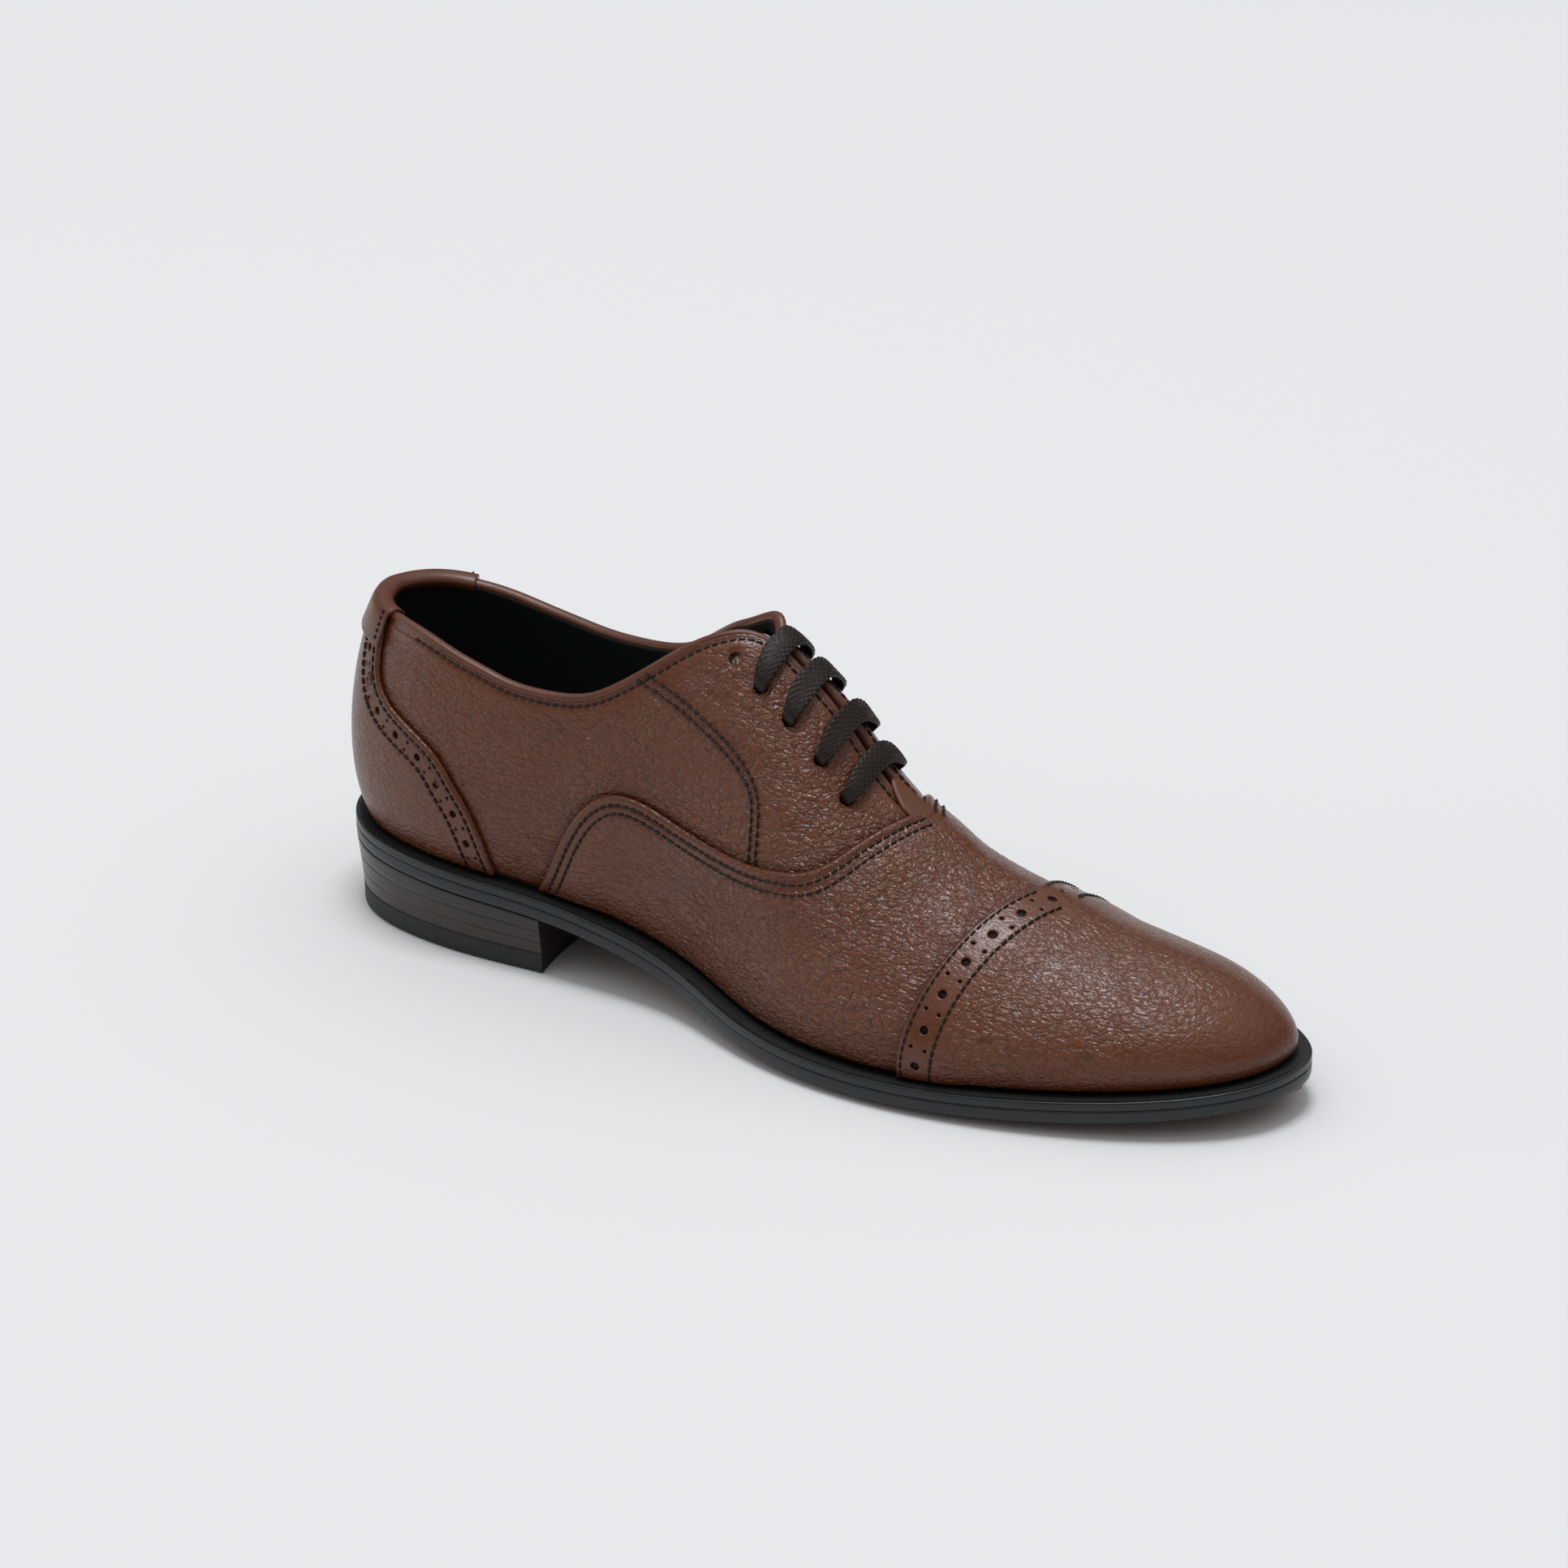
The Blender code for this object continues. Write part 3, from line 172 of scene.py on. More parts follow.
steps = np.hypot(np.diff(STATIONS), np.diff(LATERAL_HALF))
along = np.concatenate([[0.0], np.cumsum(steps)]) / steps.sum()
outline_x = Spline(along, STATIONS, flat_ends=True)
outline_half = {LATERAL: Spline(along, LATERAL_HALF), MEDIAL: Spline(along, MEDIAL_HALF)}
feather_rise = Spline(FEATHER_STATIONS, FEATHER_RISE)
ridge_rise = Spline(RIDGE_STATIONS, RIDGE_RISE)
rib_bulge = {side: Spline(RIB_STATIONS, RIB_BULGE[side]) for side in RIB_BULGE}
rib_wall = Spline(RIB_STATIONS, RIB_WALL)
rib_top = {side: Spline(RIB_STATIONS, RIB_TOP[side]) for side in RIB_TOP}


def ease(x):
    """0 below 0, 1 above 1, and a smooth step between."""
    x = np.clip(x, 0.0, 1.0)
    return x * x * (3 - 2 * x)


def dip(distance, centre, width):
    """A smooth groove or bump, 1 at its centre."""
    return np.exp(-(((distance - centre) / width) ** 2))


def travel(points, power=1.0):
    """How far along a polyline each of its points lies, with each step raised to a power."""
    lengths = np.linalg.norm(np.diff(points, axis=0), axis=1) ** power
    return np.concatenate([[0.0], np.cumsum(lengths)])


def carried(reach, travelled, points):
    """The places at the given reaches along a polyline."""
    return np.stack([np.interp(reach, travelled, column) for column in points.T], -1)


def feather(side, u, grow=0.0):
    """Plan of the last's bottom edge, moved outward by grow."""
    step = 1e-4
    u = np.asarray(u, float)
    before = np.clip(u - step, 0, 1)
    after = np.clip(u + step, 0, 1)
    dx = outline_x(after) - outline_x(before)
    dy = side * (outline_half[side](after) - outline_half[side](before))
    size = np.hypot(dx, dy)
    x = outline_x(u) - side * dy / size * grow
    y = side * outline_half[side](u) + side * dx / size * grow
    return x, y


def feather_z(x):
    return TREAD_HEIGHT + feather_rise(np.clip(x, 0, FEATHER_STATIONS[-1]))


def last_point(side, u, t):
    """A point of the last's surface."""
    u, t = np.broadcast_arrays(np.asarray(u, float), np.asarray(t, float))
    x = outline_x(u)
    y = side * outline_half[side](u)
    middle = HEEL_FAN + FAN_SOFTNESS * np.logaddexp(0, (x - HEEL_FAN) / FAN_SOFTNESS)
    middle = TOE_FAN - FAN_SOFTNESS * np.logaddexp(0, (TOE_FAN - middle) / FAN_SOFTNESS)
    ridge_y = np.maximum(middle - RIDGE_DRIFT_FROM, 0) * RIDGE_DRIFT
    reach = np.hypot(x - middle, y - ridge_y)
    s = 1 - t
    wall = s**3 * reach + 3 * s**2 * t * (reach + rib_bulge[side](u))
    distance = wall + 3 * s * t**2 * rib_top[side](u) * reach
    rise = 3 * s**2 * t * rib_wall(u) + 3 * s * t**2 + t**3
    px = middle + (x - middle) / reach * distance
    py = ridge_y + (y - ridge_y) / reach * distance
    low = TREAD_HEIGHT + feather_rise(x) + FEATHER_LIFT
    pz = low + (TREAD_HEIGHT + ridge_rise(px) - low) * rise
    return np.stack([px, py, pz], -1)


def side_normal(side, u, t):
    step = 1e-3
    t = np.clip(t, 0, 0.994)
    ahead = last_point(side, np.clip(u + step, 0, 1), t) - last_point(side, np.clip(u - step, 0, 1), t)
    up = last_point(side, u, t + step) - last_point(side, u, t - step)
    normal = np.cross(ahead, up) * -side
    return normal / np.linalg.norm(normal, axis=-1, keepdims=True)


def last_normal(side, u, t):
    """Outward unit normal. Near the middle line it turns into the mean of both sides', so that they meet."""
    u, t = np.broadcast_arrays(np.asarray(u, float), np.asarray(t, float))
    meet = np.maximum(ease((t - 0.95) / 0.05), np.maximum(ease((0.012 - u) / 0.012), ease((u - 0.99) / 0.01)))
    share = (meet * 0.5)[..., None]
    normal = side_normal(side, u, t) * (1 - share) + side_normal(-side, u, t) * share
    return normal / np.linalg.norm(normal, axis=-1, keepdims=True)


def flare(side, u, t):
    """The medial facing's top corner stands away from the lace: its shift in millimetres."""
    share = dip(u, CORNER_FLARE_U, CORNER_FLARE_SPREAD) * ease((t - 0.70) / 0.25) * (side == MEDIAL)
    return share[..., None] * np.array(CORNER_FLARE)


def on_last(side, u, t, out=0.0):
    """A point out from the last's surface by out."""
    u, t, out = np.broadcast_arrays(*(np.asarray(value, float) for value in (u, t, out)))
    return last_point(side, u, t) + last_normal(side, u, t) * out[..., None] + flare(side, u, t)


def to_world(points):
    return (np.asarray(points, float) - (ORIGIN_X, 0.0, 0.0)) * MM


def smooth_line(points, count=400):
    """A smooth curve through points, sampled evenly."""
    points = np.array(points, float)
    reach = travel(points, 0.5)
    curve = Spline(reach, points)(np.linspace(0, reach[-1], count * 4))
    travelled = travel(curve)
    return carried(np.linspace(0, travelled[-1], count), travelled, curve)


def even_line(points, spacing):
    """A polyline sampled again at a spacing near the one given."""
    travelled = travel(points)
    count = max(int(round(travelled[-1] / spacing)), 2) + 1
    return carried(np.linspace(0, travelled[-1], count), travelled, points)


def stretches(side, u, t):
    """Millimetres of surface for each unit of u and of t."""
    step = 1e-3
    du = last_point(side, np.clip(u + step, 0, 1), t) - last_point(side, np.clip(u - step, 0, 1), t)
    high = np.clip(t + step, 0, 1)
    low = np.clip(t - step, 0, 1)
    dt = last_point(side, u, high) - last_point(side, u, low)
    return np.linalg.norm(du, axis=-1) / (2 * step), np.linalg.norm(dt, axis=-1) / (high - low)


def inset_line(side, line, inset):
    """A line drawn on the last, moved to its right by inset millimetres, seen with u ahead and t up."""
    su, st = stretches(side, line[:, 0], np.clip(line[:, 1], 0, 0.99))
    st = np.maximum(st, LEAST_T_STRETCH)
    a = np.gradient(line[:, 0]) * su
    b = np.gradient(line[:, 1]) * st
    size = np.hypot(a, b)
    return np.stack([line[:, 0] + b / size * inset / su, line[:, 1] - a / size * inset / st], -1)


def facing_edge_t(side, u, from_middle):
    """t where the surface is from_middle away from the shoe's middle line."""
    t = np.linspace(0.6, 1, 401)
    points = last_point(side, u, t)
    reach = np.linalg.norm(points[:, :2] - points[-1, :2], axis=1)
    return float(np.interp(-from_middle, -reach, t))


def upper_edge(side):
    """The topline, the facing's top corner and its front edge, from the heel's back to the throat."""
    front_u = (FACING_CORNER_U[side], *FACING_FRONT_U, FACING_FOOT_U)
    front = [(u, facing_edge_t(side, u, FACING_GAP / 2)) for u in front_u]
    return smooth_line(TOPLINE[side] + front, 900)


def cap_line(side, count=400):
    """The toe cap's rear edge, from the feather to the ridge."""
    start = CAP_LATERAL if side == LATERAL else CAP_MEDIAL
    t = np.linspace(0, 1, count)
    fine = np.linspace(0, 1, 2001)
    return np.stack([np.interp(start + (CAP_RIDGE - start) * t**1.6, outline_x(fine), fine), t], -1)


vamp_seam = smooth_line(VAMP_SEAM, 600)
foxing_edge = smooth_line(FOXING_EDGE, 400)
facing_seam = smooth_line(FACING_SEAM, 300)
upper_edges = {side: upper_edge(side) for side in (LATERAL, MEDIAL)}
cap_lines = {side: cap_line(side) for side in (LATERAL, MEDIAL)}


def tree_of(points):
    tree = KDTree(len(points))
    for i, point in enumerate(points):
        tree.insert(Vector(point), i)
    tree.balance()
    return tree


def distance_to(line_points, points):
    """Each point's distance to a polyline, whose own points lie close together."""
    tree = tree_of(line_points)
    flat = points.reshape(-1, 3)
    return np.array([tree.find(Vector(p))[2] for p in flat]).reshape(points.shape[:-1])


# ---------------------------------------------------------------------------------------------- materials


class Nodes:
    """Short calls for building a material's nodes."""

    def __init__(self, name):
        self.material = bpy.data.materials.new(name)
        self.material.use_nodes = True
        self.tree = self.material.node_tree
        self.shader = self.tree.nodes["Principled BSDF"]

    def add(self, kind, inputs=(), **settings):
        node = self.tree.nodes.new(kind)
        for key, value in settings.items():
            setattr(node, key, value)
        for key, value in dict(inputs).items():
            self.put(node.inputs[key], value)
        return node

    def put(self, socket, value):
        if isinstance(value, bpy.types.NodeSocket):
            self.tree.links.new(value, socket)
        else:
            socket.default_value = value

    def math(self, operation, a, b=0.0):
        return self.add("ShaderNodeMath", {0: a, 1: b}, operation=operation).outputs[0]

    def mix(self, share, a, b):
        """A mix of two colours."""
        node = self.add("ShaderNodeMix", data_type="RGBA")
        for socket, value in ((node.inputs[0], share), (node.inputs[6], a), (node.inputs[7], b)):
            self.put(socket, value)
        return node.outputs[2]

    def ramp(self, value, low, high, start=0.0, end=1.0):
        """value carried from low..high to start..end, and held at the ends."""
        node = self.add("ShaderNodeMapRange", {0: value, 1: low, 2: high, 3: start, 4: end})
        return node.outputs[0]

    def place(self):
        return self.add("ShaderNodeTexCoord").outputs["Object"]

    def attribute(self, name):
        return self.add("ShaderNodeAttribute", attribute_name=name).outputs["Fac"]

    def noise(self, place, scale, detail=2.0, rough=0.5, output="Fac"):
        inputs = {"Vector": place, "Scale": scale, "Detail": detail, "Roughness": rough}
        return self.add("ShaderNodeTexNoise", inputs).outputs[output]

    def warped(self, place, scale, amount):
        """Coordinates pushed about by noise."""
        noise = self.noise(place, scale, 3.0, output="Color")
        centred = self.add("ShaderNodeVectorMath", {0: noise, 1: (0.5, 0.5, 0.5)},
                           operation="SUBTRACT").outputs[0]
        moved = self.add("ShaderNodeVectorMath", {0: centred, "Scale": amount}, operation="SCALE").outputs[0]
        return self.add("ShaderNodeVectorMath", {0: place, 1: moved}, operation="ADD").outputs[0]

    def stretched(self, place, scale):
        node = self.add("ShaderNodeVectorMath", {0: place, 1: scale}, operation="MULTIPLY")
        return node.outputs[0]

    def cells(self, place, scale):
        """Distance to the edge of the cell that a place is in."""
        node = self.add("ShaderNodeTexVoronoi", {"Vector": place, "Scale": scale}, feature="DISTANCE_TO_EDGE")
        return node.outputs["Distance"]

    def bump(self, height, strength, distance, under=None):
        node = self.add("ShaderNodeBump", {"Height": height, "Strength": strength, "Distance": distance})
        if under is not None:
            self.put(node.inputs["Normal"], under)
        return node.outputs[0]

    def finish(self, color, roughness, normal=None, metallic=0.0, **settings):
        self.put(self.shader.inputs["Base Color"], color)
        self.put(self.shader.inputs["Roughness"], roughness)
        self.put(self.shader.inputs["Metallic"], metallic)
        if normal is not None:
            self.put(self.shader.inputs["Normal"], normal)
        for key, value in settings.items():
            self.put(self.shader.inputs[key.replace("_", " ")], value)
        return self.material


BROWN = (0.118, 0.0310, 0.0088, 1.0)
# Burnish, and painted shade along the panels' lapped edges and above the welt.
BROWN_BURNISH_AND_SHADE = (0.076, 0.0160, 0.0036, 1.0)
# Painted shade in the grain's valleys.
BROWN_VALLEY_SHADE = (0.030, 0.0072, 0.0022, 1.0)
BROWN_WARM = (0.150, 0.0430, 0.0135, 1.0)


def pebbled_leather(name):
    """Full-grain leather: soft pebbles drawn out into wrinkles, with painted shade in the valleys, darker where
    burnished and with painted shade along the panels.
    """
    n = Nodes(name)
    place = n.place()
    turned = n.add("ShaderNodeMapping", {"Vector": place, "Rotation": (0.0, 0.65, 0.35),
                                         "Scale": (0.62, 1.0, 1.25)}).outputs[0]
    warped = n.warped(n.warped(turned, 230.0, 0.0026), 60.0, 0.006)
    pebbles = n.ramp(n.cells(warped, 430.0), 0.0, 0.22)
    wrinkles = n.ramp(n.cells(n.warped(warped, 500.0, 0.0012), 900.0), 0.0, 0.22)
    pores = n.noise(place, 4800.0, 2.0)
    patches = n.noise(place, 34.0, 3.0, 0.6)
    strength = n.math("MULTIPLY", n.attribute("grain"), n.ramp(patches, 0.32, 0.66, 0.7, 1.2))
    relief = n.math("ADD", n.math("MULTIPLY", pebbles, 0.75), n.math("MULTIPLY", wrinkles, 0.34))
    normal = n.bump(pores, 0.10, 0.0001)
    normal = n.bump(n.math("MULTIPLY", relief, strength), 0.85, 0.00034, normal)
    color = n.mix(n.ramp(patches, 0.3, 0.75), BROWN, BROWN_WARM)
    # Painted shade: the grain's valleys are darkened.
    valley_shade = n.math("MULTIPLY", n.ramp(relief, 0.05, 0.55, 0.75, 0.0), strength)
    color = n.mix(valley_shade, color, BROWN_VALLEY_SHADE)
    # Burnish and painted shade, from the panels' point attribute.
    color = n.mix(n.attribute("burnish_and_shade"), color, BROWN_BURNISH_AND_SHADE)
    rough = n.ramp(n.noise(place, 90.0, 3.0), 0.3, 0.7, 0.24, 0.33)
    return n.finish(color, rough, normal, Specular_IOR_Level=0.5)


def smooth_leather(name):
    """The rolled edges and the tab: the same leather pulled smooth."""
    n = Nodes(name)
    place = n.place()
    creases = n.noise(n.warped(place, 300.0, 0.001), 700.0, 4.0, 0.6)
    patches = n.noise(place, 60.0, 3.0)
    color = n.mix(n.ramp(patches, 0.3, 0.7), (0.084, 0.0200, 0.0056, 1.0), (0.124, 0.0330, 0.0100, 1.0))
    return n.finish(color, n.ramp(creases, 0.3, 0.7, 0.34, 0.48), n.bump(creases, 0.25, 0.0002),
                    Coat_Weight=0.15, Coat_Roughness=0.25)


def lining_cloth(name):
    """Black lining with a fine ribbed weave."""
    n = Nodes(name)
    place = n.place()
    weave = n.noise(n.stretched(place, (1.0, 1.0, 3.0)), 1500.0, 2.0)
    fuzz = n.noise(place, 4200.0, 2.0)
    tone = n.mix(n.ramp(weave, 0.35, 0.7), (0.0020, 0.0028, 0.0028, 1.0), (0.0062, 0.0078, 0.0078, 1.0))
    return n.finish(tone, 0.88, n.bump(fuzz, 0.3, 0.0001, n.bump(weave, 0.35, 0.0002)))


def edge_dressing(name):
    """Sanded and waxed sole edge: satin black with faint lines along it."""
    n = Nodes(name)
    place = n.place()
    streaks = n.noise(n.stretched(n.warped(place, 30.0, 0.002), (1.0, 1.0, 9.0)), 140.0, 4.0, 0.65)
    scuffs = n.noise(place, 620.0, 3.0, 0.7)
    tone = n.mix(n.ramp(streaks, 0.45, 0.8), (0.0050, 0.0062, 0.0062, 1.0), (0.013, 0.015, 0.015, 1.0))
    rough = n.ramp(scuffs, 0.3, 0.75, 0.24, 0.42)
    return n.finish(tone, rough, n.bump(scuffs, 0.12, 0.0001, n.bump(streaks, 0.2, 0.0002)))


def welt_finish(name):
    """The welt's upper face: dull black with pale specks."""
    n = Nodes(name)
    place = n.place()
    crumbs = n.noise(place, 1400.0, 4.0, 0.7)
    tone = n.mix(n.ramp(crumbs, 0.6, 0.8), (0.0045, 0.005, 0.005, 1.0), (0.05, 0.052, 0.048, 1.0))
    return n.finish(tone, n.ramp(crumbs, 0.3, 0.7, 0.5, 0.75), n.bump(crumbs, 0.5, 0.0003))


def stacked_leather(name):
    """Heel lifts: dark red brown with streaks along the layers."""
    n = Nodes(name)
    place = n.place()
    streaks = n.noise(n.stretched(n.warped(place, 40.0, 0.003), (0.16, 0.16, 3.2)), 240.0, 5.0, 0.62)
    height = n.add("ShaderNodeSeparateXYZ", {0: place}).outputs["Z"]
    lower = n.ramp(height, 0.012, 0.0215, 1.0, 0.0)
    red = n.mix(n.ramp(streaks, 0.36, 0.7), (0.0055, 0.004, 0.004, 1.0), (0.036, 0.0085, 0.0065, 1.0))
    tone = n.mix(n.math("MULTIPLY", lower, 0.9), (0.0055, 0.0055, 0.0055, 1.0), red)
    return n.finish(tone, n.ramp(streaks, 0.3, 0.7, 0.28, 0.4), n.bump(streaks, 0.1, 0.0001), Coat_Weight=0.1)


def speckled(name, color, other, roughness, scale=900.0, strength=0.3, metallic=0.0):
    """Rubber, board, cork, paint or metal, with a speckle of its own scale."""
    n = Nodes(name)
    specks = n.noise(n.place(), scale, 3.0, 0.65)
    tone = n.mix(n.ramp(specks, 0.35, 0.7), color, other)
    rough = n.ramp(specks, 0.3, 0.7, roughness * 0.85, min(roughness * 1.15, 1.0))
    return n.finish(tone, rough, n.bump(specks, strength, 0.0002), metallic=metallic)


def waxed_thread(name):
    """Black thread with its twist."""
    n = Nodes(name)
    place = n.place()
    twist = n.noise(place, 3200.0, 2.0)
    tone = n.mix(n.ramp(twist, 0.4, 0.75), (0.002, 0.002, 0.002, 1.0), (0.012, 0.010, 0.010, 1.0))
    return n.finish(tone, 0.5, n.bump(twist, 0.4, 0.0001), Specular_IOR_Level=0.35)


def braided_cotton(name):
    """Waxed lace yarn: fine fibres, and painted shade between the strands."""
    n = Nodes(name)
    place = n.place()
    fibres = n.noise(place, 3600.0, 3.0, 0.7)
    raised = n.attribute("raised")
    tone = n.mix(n.ramp(fibres, 0.35, 0.75), (0.012, 0.0070, 0.0055, 1.0), (0.042, 0.025, 0.019, 1.0))
    # Painted shade: the low parts of the braid go near black.
    tone = n.mix(n.ramp(raised, 0.15, 0.8, 0.92, 0.0), tone, (0.0015, 0.001, 0.001, 1.0))
    return n.finish(tone, n.ramp(fibres, 0.3, 0.7, 0.34, 0.5), n.bump(fibres, 0.35, 0.00012),
                    Specular_IOR_Level=0.25)


materials = {
    "upper_leather": pebbled_leather("pebbled_leather"),
    "smooth_leather": smooth_leather("rolled_leather"),
    "lining": lining_cloth("lining_cloth"),
    "thread": waxed_thread("waxed_thread"),
    "edge": edge_dressing("edge_dressing"),
    "welt": welt_finish("welt_finish"),
    "stack": stacked_leather("stacked_leather"),
    "rubber": speckled("top_piece_rubber", (0.005, 0.005, 0.005, 1), (0.012, 0.012, 0.011, 1), 0.6, 1200.0),
    "sole_paint": speckled("sole_paint", (0.085, 0.008, 0.014, 1), (0.110, 0.012, 0.018, 1), 0.42, 400.0, 0.1),
    "board": speckled("fibre_board", (0.30, 0.22, 0.13, 1), (0.42, 0.33, 0.22, 1), 0.85),
    "cork": speckled("ground_cork", (0.20, 0.11, 0.05, 1), (0.45, 0.29, 0.16, 1), 0.9, 500.0, 0.5),
    "steel": speckled("steel", (0.5, 0.5, 0.5, 1), (0.62, 0.62, 0.61, 1), 0.36, 300.0, 0.05, 1.0),
    "lace": braided_cotton("braided_cotton"),
    "aglet": speckled("aglet_film", (0.012, 0.008, 0.007, 1), (0.022, 0.016, 0.014, 1), 0.25, 300.0, 0.05),
    "hole": speckled("hole_shadow", (0.006, 0.003, 0.002, 1), (0.012, 0.006, 0.004, 1), 0.9),
}


# ------------------------------------------------------------------------------------------------- meshes


FINE_WELD = 0.0005


def add_piece(name, points, faces, material_keys, body="shoe", attributes=None, face_materials=None):
    """A mesh piece from points in millimetres, riding on a body."""
    mesh = bpy.data.meshes.new(name)
    mesh.from_pydata(to_world(points), [], faces)
    for key in material_keys:
        mesh.materials.append(materials[key])
    for label, values in (attributes or {}).items():
        layer = mesh.attributes.new(label, "FLOAT", "POINT")
        layer.data.foreach_set("value", np.asarray(values, np.float32).ravel())
    if face_materials is not None:
        mesh.polygons.foreach_set("material_index", np.asarray(face_materials, np.int32))
    mesh.validate()
    mesh.shade_smooth()
    piece = bpy.data.objects.new(name, mesh)
    bpy.context.scene.collection.objects.link(piece)
    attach(piece, body)
    return piece


def weld(piece, distance):
    """Joins points closer than distance, and turns all faces outward."""
    bm = bmesh.new()
    bm.from_mesh(piece.data)
    bmesh.ops.remove_doubles(bm, verts=bm.verts, dist=distance * MM)
    bmesh.ops.dissolve_degenerate(bm, edges=bm.edges, dist=1e-6)
    bmesh.ops.recalc_face_normals(bm, faces=bm.faces)
    bm.to_mesh(piece.data)
    bm.free()
    piece.data.shade_smooth()


def thicken(piece, thickness):
    """Gives a sheet a thickness, inward from its own face."""
    solid = piece.modifiers.new("thickness", "SOLIDIFY")
    solid.thickness = thickness * MM
    solid.offset = -1


def tube_faces(rings, count, start=0, ends=True):
    """Quads between closed rings of points, and a face across each end."""
    faces = []
    for a in range(start, start + (rings - 1) * count, count):
        for k in range(count):
            after = (k + 1) % count
            faces.append([a + k, a + after, a + count + after, a + count + k])
    if ends:
        last = start + (rings - 1) * count
        faces.append([start + k for k in reversed(range(count))])
        faces.append([last + k for k in range(count)])
    return faces


def grid_faces(rows, columns, start=0, keep=None, flip=False):
    """Quads of a grid of points, without those that touch a point not kept."""
    index = start + np.arange(rows * columns).reshape(rows, columns)
    a, b, c, d = index[:-1, :-1], index[:-1, 1:], index[1:, 1:], index[1:, :-1]
    order = (a, d, c, b) if flip else (a, b, c, d)
    quads = np.stack([corner.ravel() for corner in order], -1)
    if keep is not None:
        whole = keep[:-1, :-1] & keep[:-1, 1:] & keep[1:, 1:] & keep[1:, :-1]
        quads = quads[whole.ravel()]
    return quads


def punch(points, keep, centre, radius):
    """Opens a round hole in a grid: squares of points around the middle go onto circles, easing outward."""
    away = np.linalg.norm(points - centre, axis=-1)
    i, j = np.unravel_index(np.argmin(away), away.shape)
    room = (min(i, points.shape[0] - 1 - i) - 1, min(j, points.shape[1] - 1 - j) - 1)
    if min(room) < 3:
        return
    along = points[i + 1, j] - points[i - 1, j]
    across = points[i, j + 1] - points[i, j - 1]
    steps = [max(np.linalg.norm(step) / 2, 1e-3) for step in (along, across)]
    inner = [max(int(round(radius / step)), 1) for step in steps]
    along = along / np.linalg.norm(along)
    across = across - along * (across @ along)
    across = across / np.linalg.norm(across)
    outer = [min(count * 2 + 1, space) for count, space in zip(inner, room)]
    if outer[0] <= inner[0] or outer[1] <= inner[1]:
        return
    limit = min(outer[0] / inner[0], outer[1] / inner[1])
    for a in range(-outer[0], outer[0] + 1):
        for b in range(-outer[1], outer[1] + 1):
            square = max(abs(a) / inner[0], abs(b) / inner[1])
            if square < 1 - 1e-6 or square > limit:
                continue
            angle = math.atan2(b / inner[1], a / inner[0])
            round_place = centre + (along * math.cos(angle) + across * math.sin(angle)) * radius * square
            weight = 1.0 if square < 1 + 1e-6 else float(ease((limit - square) / max(limit - 1, 1e-6)))
            old = points[i + a, j + b]
            lifted = round_place + (old - centre - along * ((old - centre) @ along)
                                    - across * ((old - centre) @ across))
            points[i + a, j + b] = old + (lifted - old) * weight
    keep[i - inner[0] + 1 : i + inner[0], j - inner[1] + 1 : j + inner[1]] = False


def add_panel(name, grids, thickness, nodes, material="upper_leather", holes=()):
    """A leather panel from one grid a side: {side: (u, t, out, grain, burnish)}, given thickness inward."""
    points, faces, grain, burnish_and_shade = [], [], [], []
    start = 0
    for side, (u, t, out, rough_grain, dark) in grids.items():
        place = on_last(side, u, t, out)
        keep = np.ones(u.shape, bool)
        for hole_side, centre, radius in holes:
            if hole_side == side:
                punch(place, keep, centre, radius)
        faces.append(grid_faces(*u.shape, start, keep, flip=side == LATERAL))
        points.append(place.reshape(-1, 3))
        grain.append(np.broadcast_to(rough_grain, u.shape).ravel())
        burnish_and_shade.append(np.broadcast_to(dark, u.shape).ravel())
        start += u.size
    piece = add_piece(name, np.concatenate(points), np.concatenate(faces).tolist(), [material],
                      # The darkening attribute carries burnish and painted shade.
                      attributes={"grain": np.concatenate(grain), "burnish_and_shade": np.concatenate(burnish_and_shade)})
    bm = bmesh.new()
    bm.from_mesh(piece.data)
    bmesh.ops.remove_doubles(bm, verts=bm.verts, dist=0.05 * MM)
    bmesh.ops.delete(bm, geom=[v for v in bm.verts if not v.link_faces], context="VERTS")
    bm.to_mesh(piece.data)
    bm.free()
    piece.data.shade_smooth()
    thicken(piece, thickness)
    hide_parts(*nodes)


def from_line(side, line, place):
    """Each place's distance to a line drawn on the last."""
    return distance_to(last_point(side, *line.T), place)


def tops_at(line, u):
    """t of a line at each u; the line runs forward."""
    return np.interp(u, line[:, 0], line[:, 1])


def panel_grid(rows_u, low, high, shares):
    """u and t of a grid whose columns are shares of the way from low to high at each row."""
    u = np.repeat(rows_u[:, None], len(shares), axis=1)
    t = low[:, None] + (high - low)[:, None] * shares[None]
    return u, t


def edge_shares(length, fine_reach, fine_step, coarse_step):
    """Shares of a row, fine near its top edge (share 1) and coarser below."""
    fine = np.arange(0, fine_reach, fine_step)
    coarse = np.linspace(fine_reach, length, max(int((length - fine_reach) / coarse_step), 2))
    from_edge = np.concatenate([fine, coarse])
    return 1 - from_edge[::-1] / length


def raised_edge(d, lift=LAP_LIFT):
    """Height of a panel's outer face near its own free edge: rounded, with a soft rim."""
    inside = np.clip(d / EDGE_ROUND, 0, 1)
    height = lift * np.sqrt(1 - (1 - inside) ** 2)
    return height + 0.22 * dip(d, 1.3, 0.8)


def stitch_groove(d, rows):
    return -sum(0.2 * dip(d, row, 0.5) for row in rows)


VAMP_ROWS = (2.9, 5.3)
CAP_ROWS = (1.7, 10.2)
FOXING_ROWS = (2.3, 8.4)
TOPLINE_ROW = 3.4
FACING_ROWS = (0.0, 2.7)

